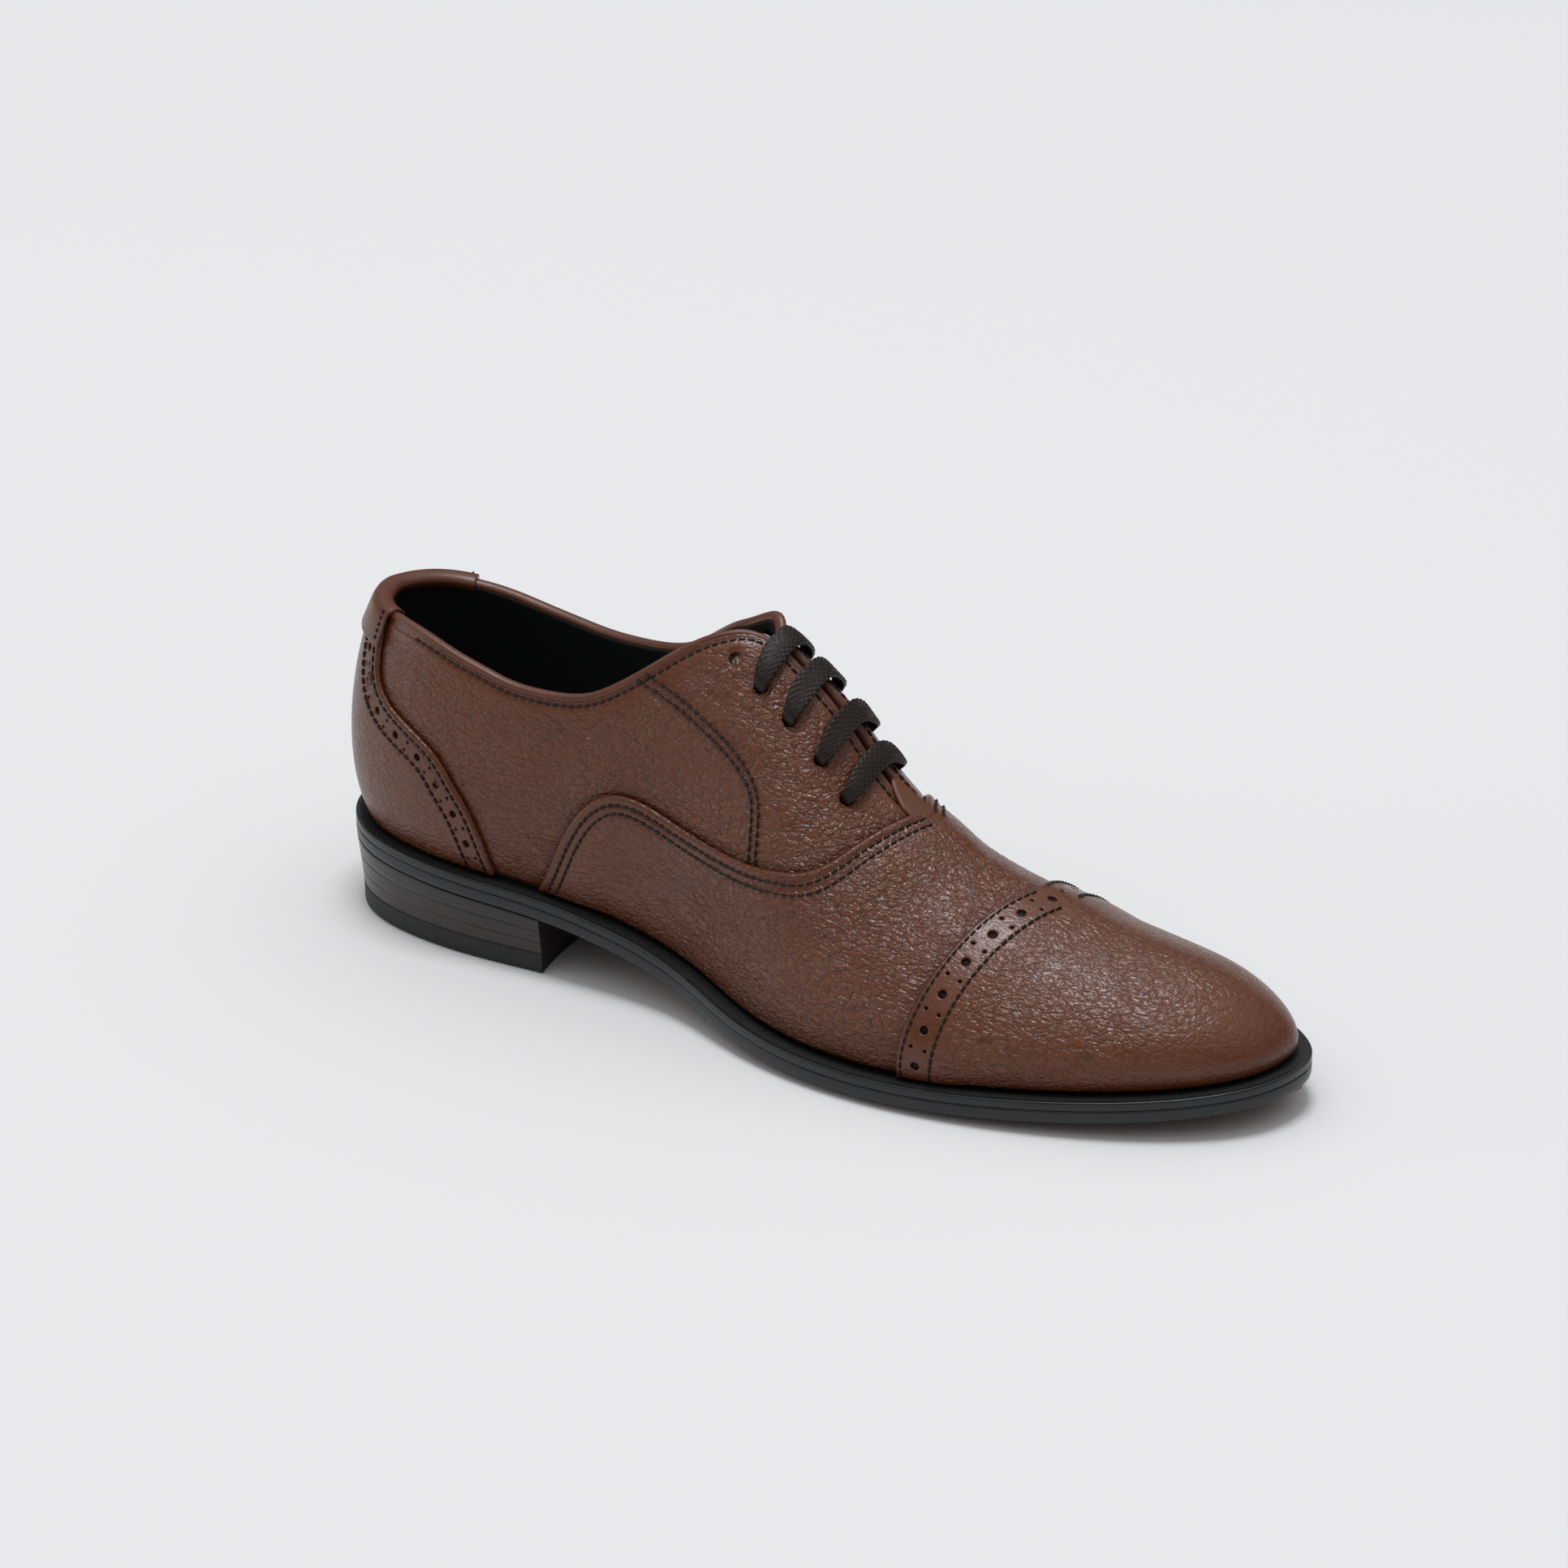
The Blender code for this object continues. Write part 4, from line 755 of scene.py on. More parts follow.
# Brogue holes: insets of the large ones and of the pairs, spacing, radii, and where the first one is.
CAP_HOLES = (6.0, (3.9, 8.1), 11.0, 1.3, 0.6, 4.5)
FOXING_HOLES = (5.3, (4.0, 6.8), 9.6, 1.2, 0.55, 9.0)

# Where the raised lap starts to level out, and over what length.
LAP_ENDS = 9.0
LAP_FADES = 15.0


def lap_fade(d):
    return 1 - ease((d - LAP_ENDS) / LAP_FADES)


def foot_shade(t):
    """Painted shade: leather is darker just above the welt."""
    return 0.75 * (1 - ease(t / 0.09))


def band_holes(line_of, large_at, small_at, spacing, large, small, first):
    """Brogue holes along a band: a large one, then a pair of small ones, in turn."""
    holes = []
    out = LAP_LIFT
    for side in (LATERAL, MEDIAL):
        middle = inset_line(side, line_of[side], large_at)
        pair = [inset_line(side, line_of[side], at) for at in small_at]
        path = on_last(side, middle[:, 0], middle[:, 1], out)
        travelled = travel(path)
        for number, reach in enumerate(np.arange(first, travelled[-1], spacing / 2)):
            for line, radius in [(middle, large)] if number % 2 == 0 else [(row, small) for row in pair]:
                u, t = carried(reach, travelled, line)
                if 0.0 < t < HOLES_END_T:
                    holes.append((side, on_last(side, u, t, out), radius, last_normal(side, u, t)))
    return holes


def build_vamp():
    grids = {}
    rows_wing = np.linspace(vamp_seam[0, 0], THROAT_U, 210)
    shares = edge_shares(60.0, 8.0, 0.42, 1.15)
    for side in (LATERAL, MEDIAL):
        seam = tops_at(vamp_seam, rows_wing)
        u, t = panel_grid(rows_wing, np.zeros_like(seam), seam, shares)
        ahead = np.linspace(0, 1, 74)[1:, None]
        rear = np.interp(shares, cap_lines[side][:, 1], cap_lines[side][:, 0]) + CAP_UNDERLAP_U
        u_front = THROAT_U + ahead * (rear[None] - THROAT_U)
        u = np.concatenate([u, u_front])
        t = np.concatenate([t, np.repeat(shares[None], len(ahead), axis=0)])
        place = last_point(side, u, t)
        seam_points = np.concatenate([last_point(each, *vamp_seam.T) for each in (side, -side)])
        d = distance_to(seam_points, place)
        behind_cap = from_line(side, cap_lines[side], place)
        out = raised_edge(d) * lap_fade(d) + stitch_groove(d, VAMP_ROWS)
        out -= 0.35 * dip(behind_cap, 0.0, 3.0)
        wrinkles = np.sin(place[..., 0] * 1.9 + np.sin(place[..., 2] * 0.35) * 2.0)
        out += 0.10 * wrinkles * dip(u, 0.62, 0.045) * dip(t, 0.55, 0.3)
        grain = (0.45 + 0.55 * ease((d - 2) / 9)) * (1 - 0.35 * ease((0.45 - u) / 0.1))
        # Darker at the vamp's own edge and by its stitch rows: burnish. Darker above the welt and just behind
        # the toe cap's edge: painted shade.
        burnish_and_shade = np.maximum(foot_shade(t), 0.7 * dip(d, 0.3, 1.1) + 0.25 * dip(d, 4.0, 3.0))
        grids[side] = (u, t, out, grain, np.maximum(burnish_and_shade, 0.45 * dip(behind_cap, 0, 2.5)))
    add_panel("vamp_leather", grids, LEATHER, ["vamp"])


def build_cap():
    grids = {}
    holes = band_holes(cap_lines, *CAP_HOLES)
    shares = np.linspace(0, 1, 190)
    for side in (LATERAL, MEDIAL):
        rear = np.interp(shares, cap_lines[side][:, 1], cap_lines[side][:, 0])
        length = (1 - rear) * 330.0
        steps = np.concatenate([np.arange(0, 12.4, 0.48), np.linspace(12.4, length.mean(), 62)[1:]])
        ahead = (steps / length.mean())[:, None]
        u = rear[None] + ahead * (1 - rear[None])
        t = np.repeat(shares[None], len(ahead), axis=0)
        place = last_point(side, u, t)
        d = from_line(side, cap_lines[side], place)
        out = raised_edge(d) * (1 - 0.85 * ease((d - 11) / 14)) + stitch_groove(d, CAP_ROWS)
        grain = (0.25 + 0.5 * ease((d - 8) / 6)) * (1 - 0.55 * ease((d - 45) / 30))
        # Darker at the cap's edge, by its stitch rows and towards the toe's tip: burnish. Darker above the
        # welt: painted shade.
        burnish_and_shade = np.maximum(foot_shade(t), 0.65 * dip(d, 0.2, 1.0) + 0.3 * dip(d, 5.5, 4.0))
        grids[side] = (u, t, out, grain, np.maximum(burnish_and_shade, 0.45 * ease((d - 55) / 30)))
    add_panel("toe_cap_leather", grids, LEATHER, ["toe_cap"],
              holes=[hole[:3] for hole in holes])
    return holes


def build_foxing():
    grids = {}
    lines = {side: foxing_edge for side in (LATERAL, MEDIAL)}
    holes = band_holes(lines, *FOXING_HOLES)
    rows = np.concatenate([np.linspace(0, 0.084, 46), np.linspace(0.086, foxing_edge[-1, 0], 215)])
    shares = edge_shares(62.0, 13.0, 0.5, 1.2)
    for side in (LATERAL, MEDIAL):
        top = tops_at(upper_edges[side], rows) - 0.012
        edge = tops_at(foxing_edge, rows)
        high = np.where(rows < 0.0855, top, np.minimum(edge, top))
        u, t = panel_grid(rows, np.zeros_like(high), high, shares)
        place = last_point(side, u, t)
        d = from_line(side, foxing_edge, place)
        out = raised_edge(d) + stitch_groove(d, FOXING_ROWS)
        grain = 0.3 + 0.35 * ease((d - 8) / 6)
        # Darker at the foxing's edge and by its stitch rows: burnish. Darker above the welt: painted shade.
        burnish_and_shade = np.maximum(foot_shade(t), 0.65 * dip(d, 0.2, 1.0) + 0.3 * dip(d, 5.0, 4.0))
        grids[side] = (u, t, out, grain, burnish_and_shade)
    add_panel("heel_foxing_leather", grids, LEATHER, ["heel_foxing"],
              holes=[hole[:3] for hole in holes])
    return holes


def build_quarters():
    for word, side in SIDES.items():
        edge = inset_line(side, upper_edges[side], BEAD_RADIUS * 1.1)
        rows = np.linspace(0.004, QUARTER_END_U, 440)
        high = tops_at(edge, rows)
        seam = np.interp(rows, *vamp_seam.T, left=0.0)
        low = np.clip(seam - 0.13, 0, None)
        u, t = panel_grid(rows, np.minimum(low, high - 0.02), high, edge_shares(70.0, 7.0, 0.45, 0.95))
        place = last_point(side, u, t)
        d_top = from_line(side, upper_edges[side], place)
        d_seam = from_line(side, vamp_seam, place)
        d_fox = from_line(side, foxing_edge, place)
        facing = np.concatenate([last_point(side, *inset_line(side, facing_seam, at).T) for at in FACING_ROWS])
        d_facing = distance_to(facing, place)
        under = t < tops_at(vamp_seam, u)
        out = stitch_groove(d_top, (TOPLINE_ROW,)) - 0.2 * dip(d_facing, 0.0, 0.5)
        out += 0.25 * dip(d_top, 5.5, 2.2) - 0.3 * dip(d_seam, 0.0, 1.2) - 0.3 * dip(d_fox, 0.0, 1.2)
        out = np.where(under & (u > vamp_seam[0, 0]), out - 0.25, out)
        grain = (0.35 + 0.65 * ease((d_top - 3) / 8)) * (0.55 + 0.45 * ease((u - 0.1) / 0.2))
        # Darker just below the rolled edge, along the vamp's and the foxing's lapped edges and above the welt:
        # painted shade. Darker by the facing's stitch rows: burnish. Also darker towards the heel's back.
        burnish_and_shade = np.maximum(0.6 * dip(d_top, 2.0, 1.6), 0.55 * dip(d_seam, 0.0, 2.5))
        burnish_and_shade = np.maximum(np.maximum(burnish_and_shade, 0.6 * dip(d_fox, 0.0, 3.0)), foot_shade(t))
        burnish_and_shade = np.maximum(burnish_and_shade, 0.35 * dip(d_facing, 0.0, 1.4))
        burnish_and_shade = np.maximum(burnish_and_shade, 0.45 * (1 - ease((u - 0.11) / 0.05)))
        holes = []
        for eu, et in EYELETS:
            holes.append((side, on_last(side, eu, et), EYELET_HOLE_RADIUS))
            out -= 0.35 * dip(np.linalg.norm(place - on_last(side, eu, et), axis=-1), EYELET_HOLE_RADIUS, 0.9)
        add_panel(f"quarter_{word}_leather", {side: (u, t, out, grain, burnish_and_shade)}, LEATHER,
                  [f"quarter_{word}"], holes=holes)


def build_linings():
    for word, side in SIDES.items():
        rows = np.linspace(0.0015, 0.578, 190)
        high = tops_at(inset_line(side, upper_edges[side], 1.2), rows)
        u, t = panel_grid(rows, np.zeros_like(high), high, np.linspace(0, 1, 60))
        place = last_point(side, u, t)
        holes = [(side, on_last(side, eu, et, LINING_FACE), 2.4) for eu, et in EYELETS]
        out = LINING_FACE + 0.12 * (np.sin(place[..., 0] * 0.23) * np.sin(place[..., 2] * 0.19))
        add_panel(f"quarter_{word}_lining_cloth", {side: (u, t, out, 0.0, 0.0)}, 0.9,
                  [f"quarter_lining_{word}"], material="lining", holes=holes)


# Dark discs of painted shadow inside the brogue holes: how deep, how thick and how much wider than the hole.
HOLE_SHADE_DEPTH = 0.85
HOLE_SHADE_THICKNESS = 0.15
HOLE_SHADE_MARGIN = 0.25


def add_hole_shade(name, holes):
    """Dark discs of painted shadow under the brogue holes, one for each."""
    points, faces = [], []
    count = 12
    angles = np.linspace(0, 2 * math.pi, count, endpoint=False)
    for side, centre, radius, normal in holes:
        across = np.cross(normal, (0.0, 0.0, 1.0))
        across /= np.linalg.norm(across)
        up = np.cross(normal, across)
        faces += tube_faces(2, count, len(points))
        for down in (HOLE_SHADE_DEPTH, HOLE_SHADE_DEPTH + HOLE_SHADE_THICKNESS):
            for angle in angles:
                rim = (across * math.cos(angle) + up * math.sin(angle)) * (radius + HOLE_SHADE_MARGIN)
                points.append(centre - normal * down + rim)
    weld(add_piece(name, np.array(points), faces, ["hole"]), 0.001)


# ------------------------------------------------------------------------------------------------- thread


# A stitch's rings: share of the way along it, thickness and height.
STITCH_SHARE = 0.86
STITCH_RINGS = [(-0.5, 0.15, -0.28), (-0.44, 0.75, -0.08), (-0.25, 1.0, 0.08), (0.0, 1.05, 0.12),
                (0.25, 1.0, 0.08), (0.44, 0.75, -0.08), (0.5, 0.15, -0.28)]


def stitches_along(points, normals, pitch=STITCH_PITCH):
    """Separate stitches along a line: short plump threads whose ends dive into the leather."""
    travelled = travel(points)
    count = max(int(travelled[-1] / pitch), 1)
    gap = travelled[-1] / count
    verts, faces = [], []
    sides = 6
    radius = STITCH_WIDTH / 2

    def at(reach):
        normal = carried(reach, travelled, normals)
        return carried(reach, travelled, points), normal / np.linalg.norm(normal)

    for number in range(count):
        centre = (number + 0.5) * gap
        start = len(verts)
        for share, fat, height in STITCH_RINGS:
            spot, normal = at(centre + share * gap * STITCH_SHARE)
            before, _ = at(centre + (share - 0.1) * gap * STITCH_SHARE)
            after, _ = at(centre + (share + 0.1) * gap * STITCH_SHARE)
            ahead = (after - before) / max(np.linalg.norm(after - before), 1e-9)
            across = np.cross(normal, ahead)
            slant = across * share * 0.12
            for k in range(sides):
                angle = 2 * math.pi * k / sides
                rim = (across * math.cos(angle) + normal * math.sin(angle)) * radius * fat
                verts.append(spot + normal * (STITCH_LIFT + height) + rim + slant)
        faces += tube_faces(len(STITCH_RINGS), sides, start)
    return verts, faces


def add_thread(name, runs):
    """One piece of thread for several runs of stitches, each with its own points and faces."""
    points, faces = [], []
    for verts, quads in runs:
        faces += [[index + len(points) for index in quad] for quad in quads]
        points += verts
    weld(add_piece(name, np.array(points), faces, ["thread"]), FINE_WELD)


def add_stitching(name, rows):
    """Thread along rows, each (side, line of (u, t), out)."""
    runs = []
    for side, line, out in rows:
        inside = (line[:, 1] > 0.004) & (line[:, 1] <= 1.0) & (line[:, 0] >= 0)
        u, t = line[inside].T
        runs.append(stitches_along(on_last(side, u, t, out), last_normal(side, u, t)))
    add_thread(name, runs)


def rows_beside(side, line, insets, out):
    """Rows beside a line, ended where they would pass the upper's edge or the ridge."""
    rows = []
    for inset in insets:
        row = inset_line(side, line, inset)
        rows.append((side, row[row[:, 1] < tops_at(upper_edges[side], row[:, 0]) - ROW_END], out))
    return rows


# The rows start this many points along their lines, clear of the heel tab.
FOXING_ROW_START = 30
TOPLINE_ROW_START = 130


def build_stitching():
    vamp_rows, cap_rows, foxing_rows, quarter_rows = [], [], [], []
    for side in (LATERAL, MEDIAL):
        vamp_rows += rows_beside(side, vamp_seam, VAMP_ROWS, LAP_LIFT)
        cap_rows += rows_beside(side, cap_lines[side], CAP_ROWS, LAP_LIFT)
        foxing_rows += rows_beside(side, foxing_edge[FOXING_ROW_START:], FOXING_ROWS, LAP_LIFT)
        quarter_rows += rows_beside(side, facing_seam, FACING_ROWS, 0.0)
        topline_row = inset_line(side, upper_edges[side][TOPLINE_ROW_START:], TOPLINE_ROW)
        quarter_rows.append((side, topline_row, 0.0))
    add_stitching("vamp_stitching", vamp_rows)
    add_stitching("toe_cap_stitching", cap_rows)
    add_stitching("heel_foxing_stitching", foxing_rows)
    add_stitching("quarter_stitching", quarter_rows)


# --------------------------------------------------------------------------------------- edges and patches


def sweep(name, path, profile, node):
    """A closed profile of (out, up) pairs in smooth leather, along a path of centres, outs and ups."""
    centres, outs, ups = (values[:, None] for values in path)
    profile = np.array(profile, float)[None]
    points = (centres + outs * profile[..., :1] + ups * profile[..., 1:]).reshape(-1, 3)
    piece = add_piece(name, points, tube_faces(len(centres), profile.shape[1]), ["smooth_leather"])
    weld(piece, FINE_WELD)
    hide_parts(node)


def frames_along(centres, normals):
    """Outward and up directions, square to the path, at each of its centres."""
    tangents = np.gradient(centres, axis=0)
    tangents /= np.linalg.norm(tangents, axis=1, keepdims=True)
    outs = normals - tangents * (normals * tangents).sum(axis=1, keepdims=True)
    outs /= np.linalg.norm(outs, axis=1, keepdims=True)
    return outs, np.cross(tangents, outs)


def edge_run(last_u, inset, out, spacing=0.8):
    """The upper's edge from the lateral side, round the heel, to the medial side."""
    runs = {}
    for side in (LATERAL, MEDIAL):
        line = inset_line(side, upper_edges[side], inset)
        line[0] = (0.0, line[1, 1])
        line = line[line[:, 0] <= last_u]
        runs[side] = (on_last(side, line[:, 0], line[:, 1], out), last_normal(side, line[:, 0], line[:, 1]))
    centres = np.concatenate([runs[LATERAL][0][::-1], runs[MEDIAL][0][1:]])
    normals = np.concatenate([runs[LATERAL][1][::-1], runs[MEDIAL][1][1:]])
    both = even_line(np.concatenate([centres, normals], axis=1) * ([1] * 3 + [1e-3] * 3), spacing)
    centres, normals = both[:, :3], both[:, 3:] * 1e3
    return (centres, *frames_along(centres, normals))


def ellipse(out, up, count=14):
    angles = np.linspace(0, 2 * math.pi, count, endpoint=False)
    return [(math.cos(a) * out, math.sin(a) * up) for a in angles]


EDGE_OUT = -1.45
ROLL_HALF_WIDTH = 1.75
TAB_END_U = 0.094
TAB_OUTSIDE = 2.95
TAB_TOP = 1.45
TAB_INSIDE = -2.15
TAB_STITCHES = np.linspace(-8.4, -0.6, 5)


def build_edges():
    """The rolled edge, and the heel tab folded over it, whose ends are stitched down."""
    path = edge_run(FACING_FOOT_U, BEAD_RADIUS, EDGE_OUT)
    sweep("rolled_edge", path, ellipse(ROLL_HALF_WIDTH, BEAD_RADIUS), "topline_bead")
    path = edge_run(TAB_END_U, BEAD_RADIUS, EDGE_OUT, 0.6)
    outer, top, inner = TAB_OUTSIDE, TAB_TOP, TAB_INSIDE
    fold = [(outer, -9.6), (outer + 0.55, -9.8), (outer + 0.75, -9.2), (outer + 0.75, -1.2),
            (outer + 0.45, 0.5), (outer - 0.7, top + 0.35), (0.5, top + 0.75), (-0.8, top + 0.7),
            (inner + 0.1, top + 0.1), (inner - 0.35, 0.6), (inner - 0.4, -1.5), (inner, -1.6),
            (inner + 0.1, 0.3), (-0.8, top), (0.5, top), (outer - 1.0, 0.4), (outer, -1.0)]
    sweep("heel_tab_leather", path, fold, "heel_tab")
    runs = []
    centres, outs, ups = path
    for end in (3, len(centres) - 4):
        for up in TAB_STITCHES:
            spot = centres[end] + outs[end] * (outer + 0.75) + ups[end] * up
            line = np.linspace(spot, spot + ups[end] * 1.55, 8)
            runs.append(stitches_along(line, np.repeat(outs[end][None], 8, axis=0), 1.6))
    add_thread("heel_tab_stitching", runs)


def build_throat_patch():
    grids = {}
    for side in (LATERAL, MEDIAL):
        rows = np.linspace(0.569, 0.606, 40)
        half = 0.085 * np.sqrt(np.clip((rows - 0.5685) / 0.02, 0, 1))
        u, t = panel_grid(rows, 1 - half, np.ones_like(rows), np.linspace(0, 1, 26))
        rim = np.clip((t - (1 - half)[:, None]) / 0.022, 0, 1)
        front = np.clip((u - 0.569) / 0.004, 0, 1)
        out = 0.25 + 0.95 * np.sqrt(1 - (1 - np.minimum(rim, front)) ** 2)
        grids[side] = (u, t, out, 0.25, 0.5)
    add_panel("throat_patch_leather", grids, 0.6, ["throat_patch"],
              material="smooth_leather")


# ------------------------------------------------------------------------------------------------- tongue


TONGUE_TOP_U = 0.42
TONGUE_HINGE_U = 0.606
TONGUE_RADIUS = 14.0
TONGUE_HALF_WIDTH = 9.5
TONGUE_DROP = [(0.42, 12.5), (0.56, 11.5), (TONGUE_HINGE_U, 4.8)]


def build_tongue():
    drop_u, drop = zip(*TONGUE_DROP)
    angle = math.asin(TONGUE_HALF_WIDTH / TONGUE_RADIUS)
    rows = np.linspace(TONGUE_TOP_U, TONGUE_HINGE_U, 90)
    for name, out, thickness, material, slot in (
        ("tongue", 0.0, 1.2, "upper_leather", "upper_leather"),
        ("tongue_lining", -1.65, 0.9, "lining", "black_lining"),
    ):
        points = []
        for u in rows:
            ridge = last_point(LATERAL, u, 1.0) * (1.0, 0.0, 1.0)
            ahead = last_point(LATERAL, u + 0.004, 1.0) - last_point(LATERAL, u - 0.004, 1.0)
            up = np.array((-ahead[2], 0.0, ahead[0])) / math.hypot(ahead[0], ahead[2])
            middle = ridge - up * float(np.interp(u, drop_u, drop))
            for a in np.linspace(-angle, angle, 36):
                lift = (TONGUE_RADIUS + out) * math.cos(a) - TONGUE_RADIUS
                points.append(middle + up * lift + (0.0, (TONGUE_RADIUS + out) * math.sin(a), 0.0))
        faces = grid_faces(len(rows), 36, flip=True).tolist()
        count = len(points)
        piece = add_piece(f"{name}_sheet", np.array(points), faces, [material], "tongue",
                          {"grain": np.full(count, 0.7), "burnish_and_shade": np.full(count, 0.2)})
        thicken(piece, thickness)
        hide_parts(name)


# --------------------------------------------------------------------------------------------------- lace


LACE_WIDTH = 7.0
LACE_THICKNESS = 1.35
LACE_PITCH = 2.1
LACE_STEP = 0.4
LACE_UNDER = LINING_INSIDE - 1.5
LACE_WALL = LINING_INSIDE - 2.2


class LaceRoute:
    """The lace's control points, each with its width direction and how far it is gathered."""

    def __init__(self):
        self.points = []
        self.widths = []
        self.gather = []

    def go(self, point, width, gather):
        self.points.append(point)
        self.widths.append(width / np.linalg.norm(width))
        self.gather.append(gather)


def along_u(side, u, t):
    return last_point(side, u + 0.004, t) - last_point(side, u - 0.004, t)


def along_t(side, u, t):
    return last_point(side, u, min(t + 0.004, 1)) - last_point(side, u, t - 0.004)


def lace_bar(route, side, number):
    """Out of one side's eyelet, flat over the gap, and into the other side's."""
    u, t = EYELETS[number]
    width = along_u(side, u, 0.97)
    climb = [(0.0, LACE_UNDER, 1.0), (0.0, -1.2, 1.0), (0.01, 1.5, 0.85), (0.05, 2.5, 0.35),
             (0.11, 2.6, 0.0), (0.18, 2.7, 0.0)]
    for rise, out, gather in climb:
        route.go(on_last(side, u, t + rise, out), width, gather)
    route.go(on_last(side, u, 1.0, 2.9), width, 0.0)
    for rise, out, gather in reversed(climb):
        route.go(on_last(-side, u, t + rise, out), width, gather)


def on_sock(u, inset):
    x, y = feather(LATERAL, u, LINING_INSIDE - inset)
    sock = feather_z(x) + 2 * GAP + INSOLE_THICKNESS + SOCK_THICKNESS
    return np.array((float(x), float(y), float(sock) + LACE_THICKNESS / 2 + 0.5))


def lace_route():
    """Bar lacing over four pairs of eyelets, with both tails tucked in down the lateral side."""
    route = LaceRoute()
    flat = np.array((0.0, 1.0, 0.0))
    front_tail = [(0.7, 14.0), (0.67, 15.0), (0.63, 16.0), (0.59, 17.0), (0.55, 17.0), (0.51, 15.0),
                  (0.475, 12.0), (0.455, 8.0)]
    back_tail = [(0.385, 6.0), (0.35, 6.5), (0.30, 6.5), (0.25, 6.5), (0.21, 6.5), (0.17, 7.0), (0.13, 8.0)]
    wall = [(-0.002, -0.09), (-0.006, -0.19), (-0.012, -0.31), (-0.02, -0.44), (-0.03, -0.57)]

    def wall_run(number, order):
        u, t = EYELETS[number]
        for du, dt in order:
            route.go(on_last(LATERAL, u + du, t + dt, LACE_WALL), along_u(LATERAL, u, t), 0.45)

    def inside_run(side, a, b, sidestep):
        u = (EYELETS[a][0] + EYELETS[b][0]) / 2
        t = (EYELETS[a][1] + EYELETS[b][1]) / 2 + sidestep
        route.go(on_last(side, u, t, LACE_UNDER), along_t(side, u, t), 0.8)

    for u, inset in front_tail:
        route.go(on_sock(u, inset), flat, 0.3)
    wall_run(2, wall[::-1])
    lace_bar(route, LATERAL, 2)
    inside_run(MEDIAL, 2, 4, -0.075)
    lace_bar(route, MEDIAL, 4)
    inside_run(LATERAL, 4, 3, 0.0)
    lace_bar(route, LATERAL, 3)
    inside_run(MEDIAL, 3, 1, 0.075)
    lace_bar(route, MEDIAL, 1)
    wall_run(1, wall)
    for u, inset in back_tail:
        route.go(on_sock(u, inset), flat, 0.3)
    return route


def braid_height(along_lace, across):
    """Height of a flat braid's strands: two families of slanting strands, each over two and under two."""
    a = (along_lace + across * 1.25) / LACE_PITCH
    b = (along_lace - across * 1.25) / LACE_PITCH
    over = np.mod(np.floor(a) + np.floor(b), 2) < 0.5
    first = np.sqrt(np.clip(1 - (2 * np.mod(a, 1) - 1) ** 2, 0, 1))
    second = np.sqrt(np.clip(1 - (2 * np.mod(b, 1) - 1) ** 2, 0, 1))
    end_first = 1 - 0.5 * np.abs(2 * np.mod(b, 1) - 1) ** 2
    end_second = 1 - 0.5 * np.abs(2 * np.mod(a, 1) - 1) ** 2
    return np.where(over, first * end_first, second * end_second)


# How the braid draws together where it goes through an eyelet.
GATHERED_HALF_WIDTH = 1.75
GATHERED_HALF_THICKNESS = 1.1
LACE_SIDES = 44


def build_lace():
    """The whole lace as one flat braided tube along its route."""
    route = lace_route()
    points = np.array(route.points)
    reach = travel(points, 0.7)
    facts = np.concatenate([points, np.array(route.widths)], axis=1)
    fine_reach = np.linspace(0, reach[-1], 9000)
    curve = Spline(reach, facts)(fine_reach)
    gather = np.interp(fine_reach, reach, route.gather)
    travelled = travel(curve[:, :3])
    even = np.arange(0, travelled[-1], LACE_STEP)
    curve = carried(even, travelled, curve)
    gather = np.interp(even, travelled, gather)
    centres, widths = curve[:, :3], curve[:, 3:]
    tangents = np.gradient(centres, axis=0)
    tangents /= np.linalg.norm(tangents, axis=1, keepdims=True)
    widths = widths - tangents * (widths * tangents).sum(axis=1, keepdims=True)
    widths /= np.linalg.norm(widths, axis=1, keepdims=True)
    ups = np.cross(tangents, widths)
    angles = np.linspace(0, 2 * math.pi, LACE_SIDES, endpoint=False)
    ca = np.sign(np.cos(angles)) * np.abs(np.cos(angles)) ** 0.75
    sa = np.sign(np.sin(angles)) * np.abs(np.sin(angles)) ** 0.42
    half_width = LACE_WIDTH / 2 * (1 - gather) + GATHERED_HALF_WIDTH * gather
    half_thick = LACE_THICKNESS / 2 * (1 - gather) + GATHERED_HALF_THICKNESS * gather
    braid = braid_height(even[:, None], ca[None] * LACE_WIDTH / 2)
    thick = half_thick[:, None] * sa[None] + np.sign(sa)[None] * 0.42 * (braid - 0.6)
    wide = half_width[:, None] * ca[None] * (1 + 0.05 * (braid - 0.6))
    sag = -0.35 * (1 - gather)[:, None] * (ca[None] ** 2) * 0.6
    place = centres[:, None] + widths[:, None] * wide[..., None] + ups[:, None] * (thick + sag)[..., None]
    lace = add_piece("lace_braid", place.reshape(-1, 3), tube_faces(len(even), LACE_SIDES), ["lace"],
                     attributes={"raised": braid.ravel()})
    weld(lace, FINE_WELD)
    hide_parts("lace")


# --------------------------------------------------------------------------------------------------- sole


def ledge(u):
    """How far the sole stands out past the upper."""
    return np.interp(u, [0, 0.12, 0.4, 0.75, 1], [HEEL_LEDGE, 5.4, LEDGE, LEDGE - 0.6, LEDGE - 0.6])


def loop_around(last_u=1.0, count=520):
    """Sides and u around the sole, from the heel's back by the lateral side and round again."""
    u = last_u * (0.5 - 0.5 * np.cos(np.linspace(0, math.pi, count // 2)))
    forward = [(LATERAL, value) for value in u]
    back = [(MEDIAL, value) for value in u[::-1]]
    return forward + (back[1:-1] if last_u == 1.0 else back[:-1])


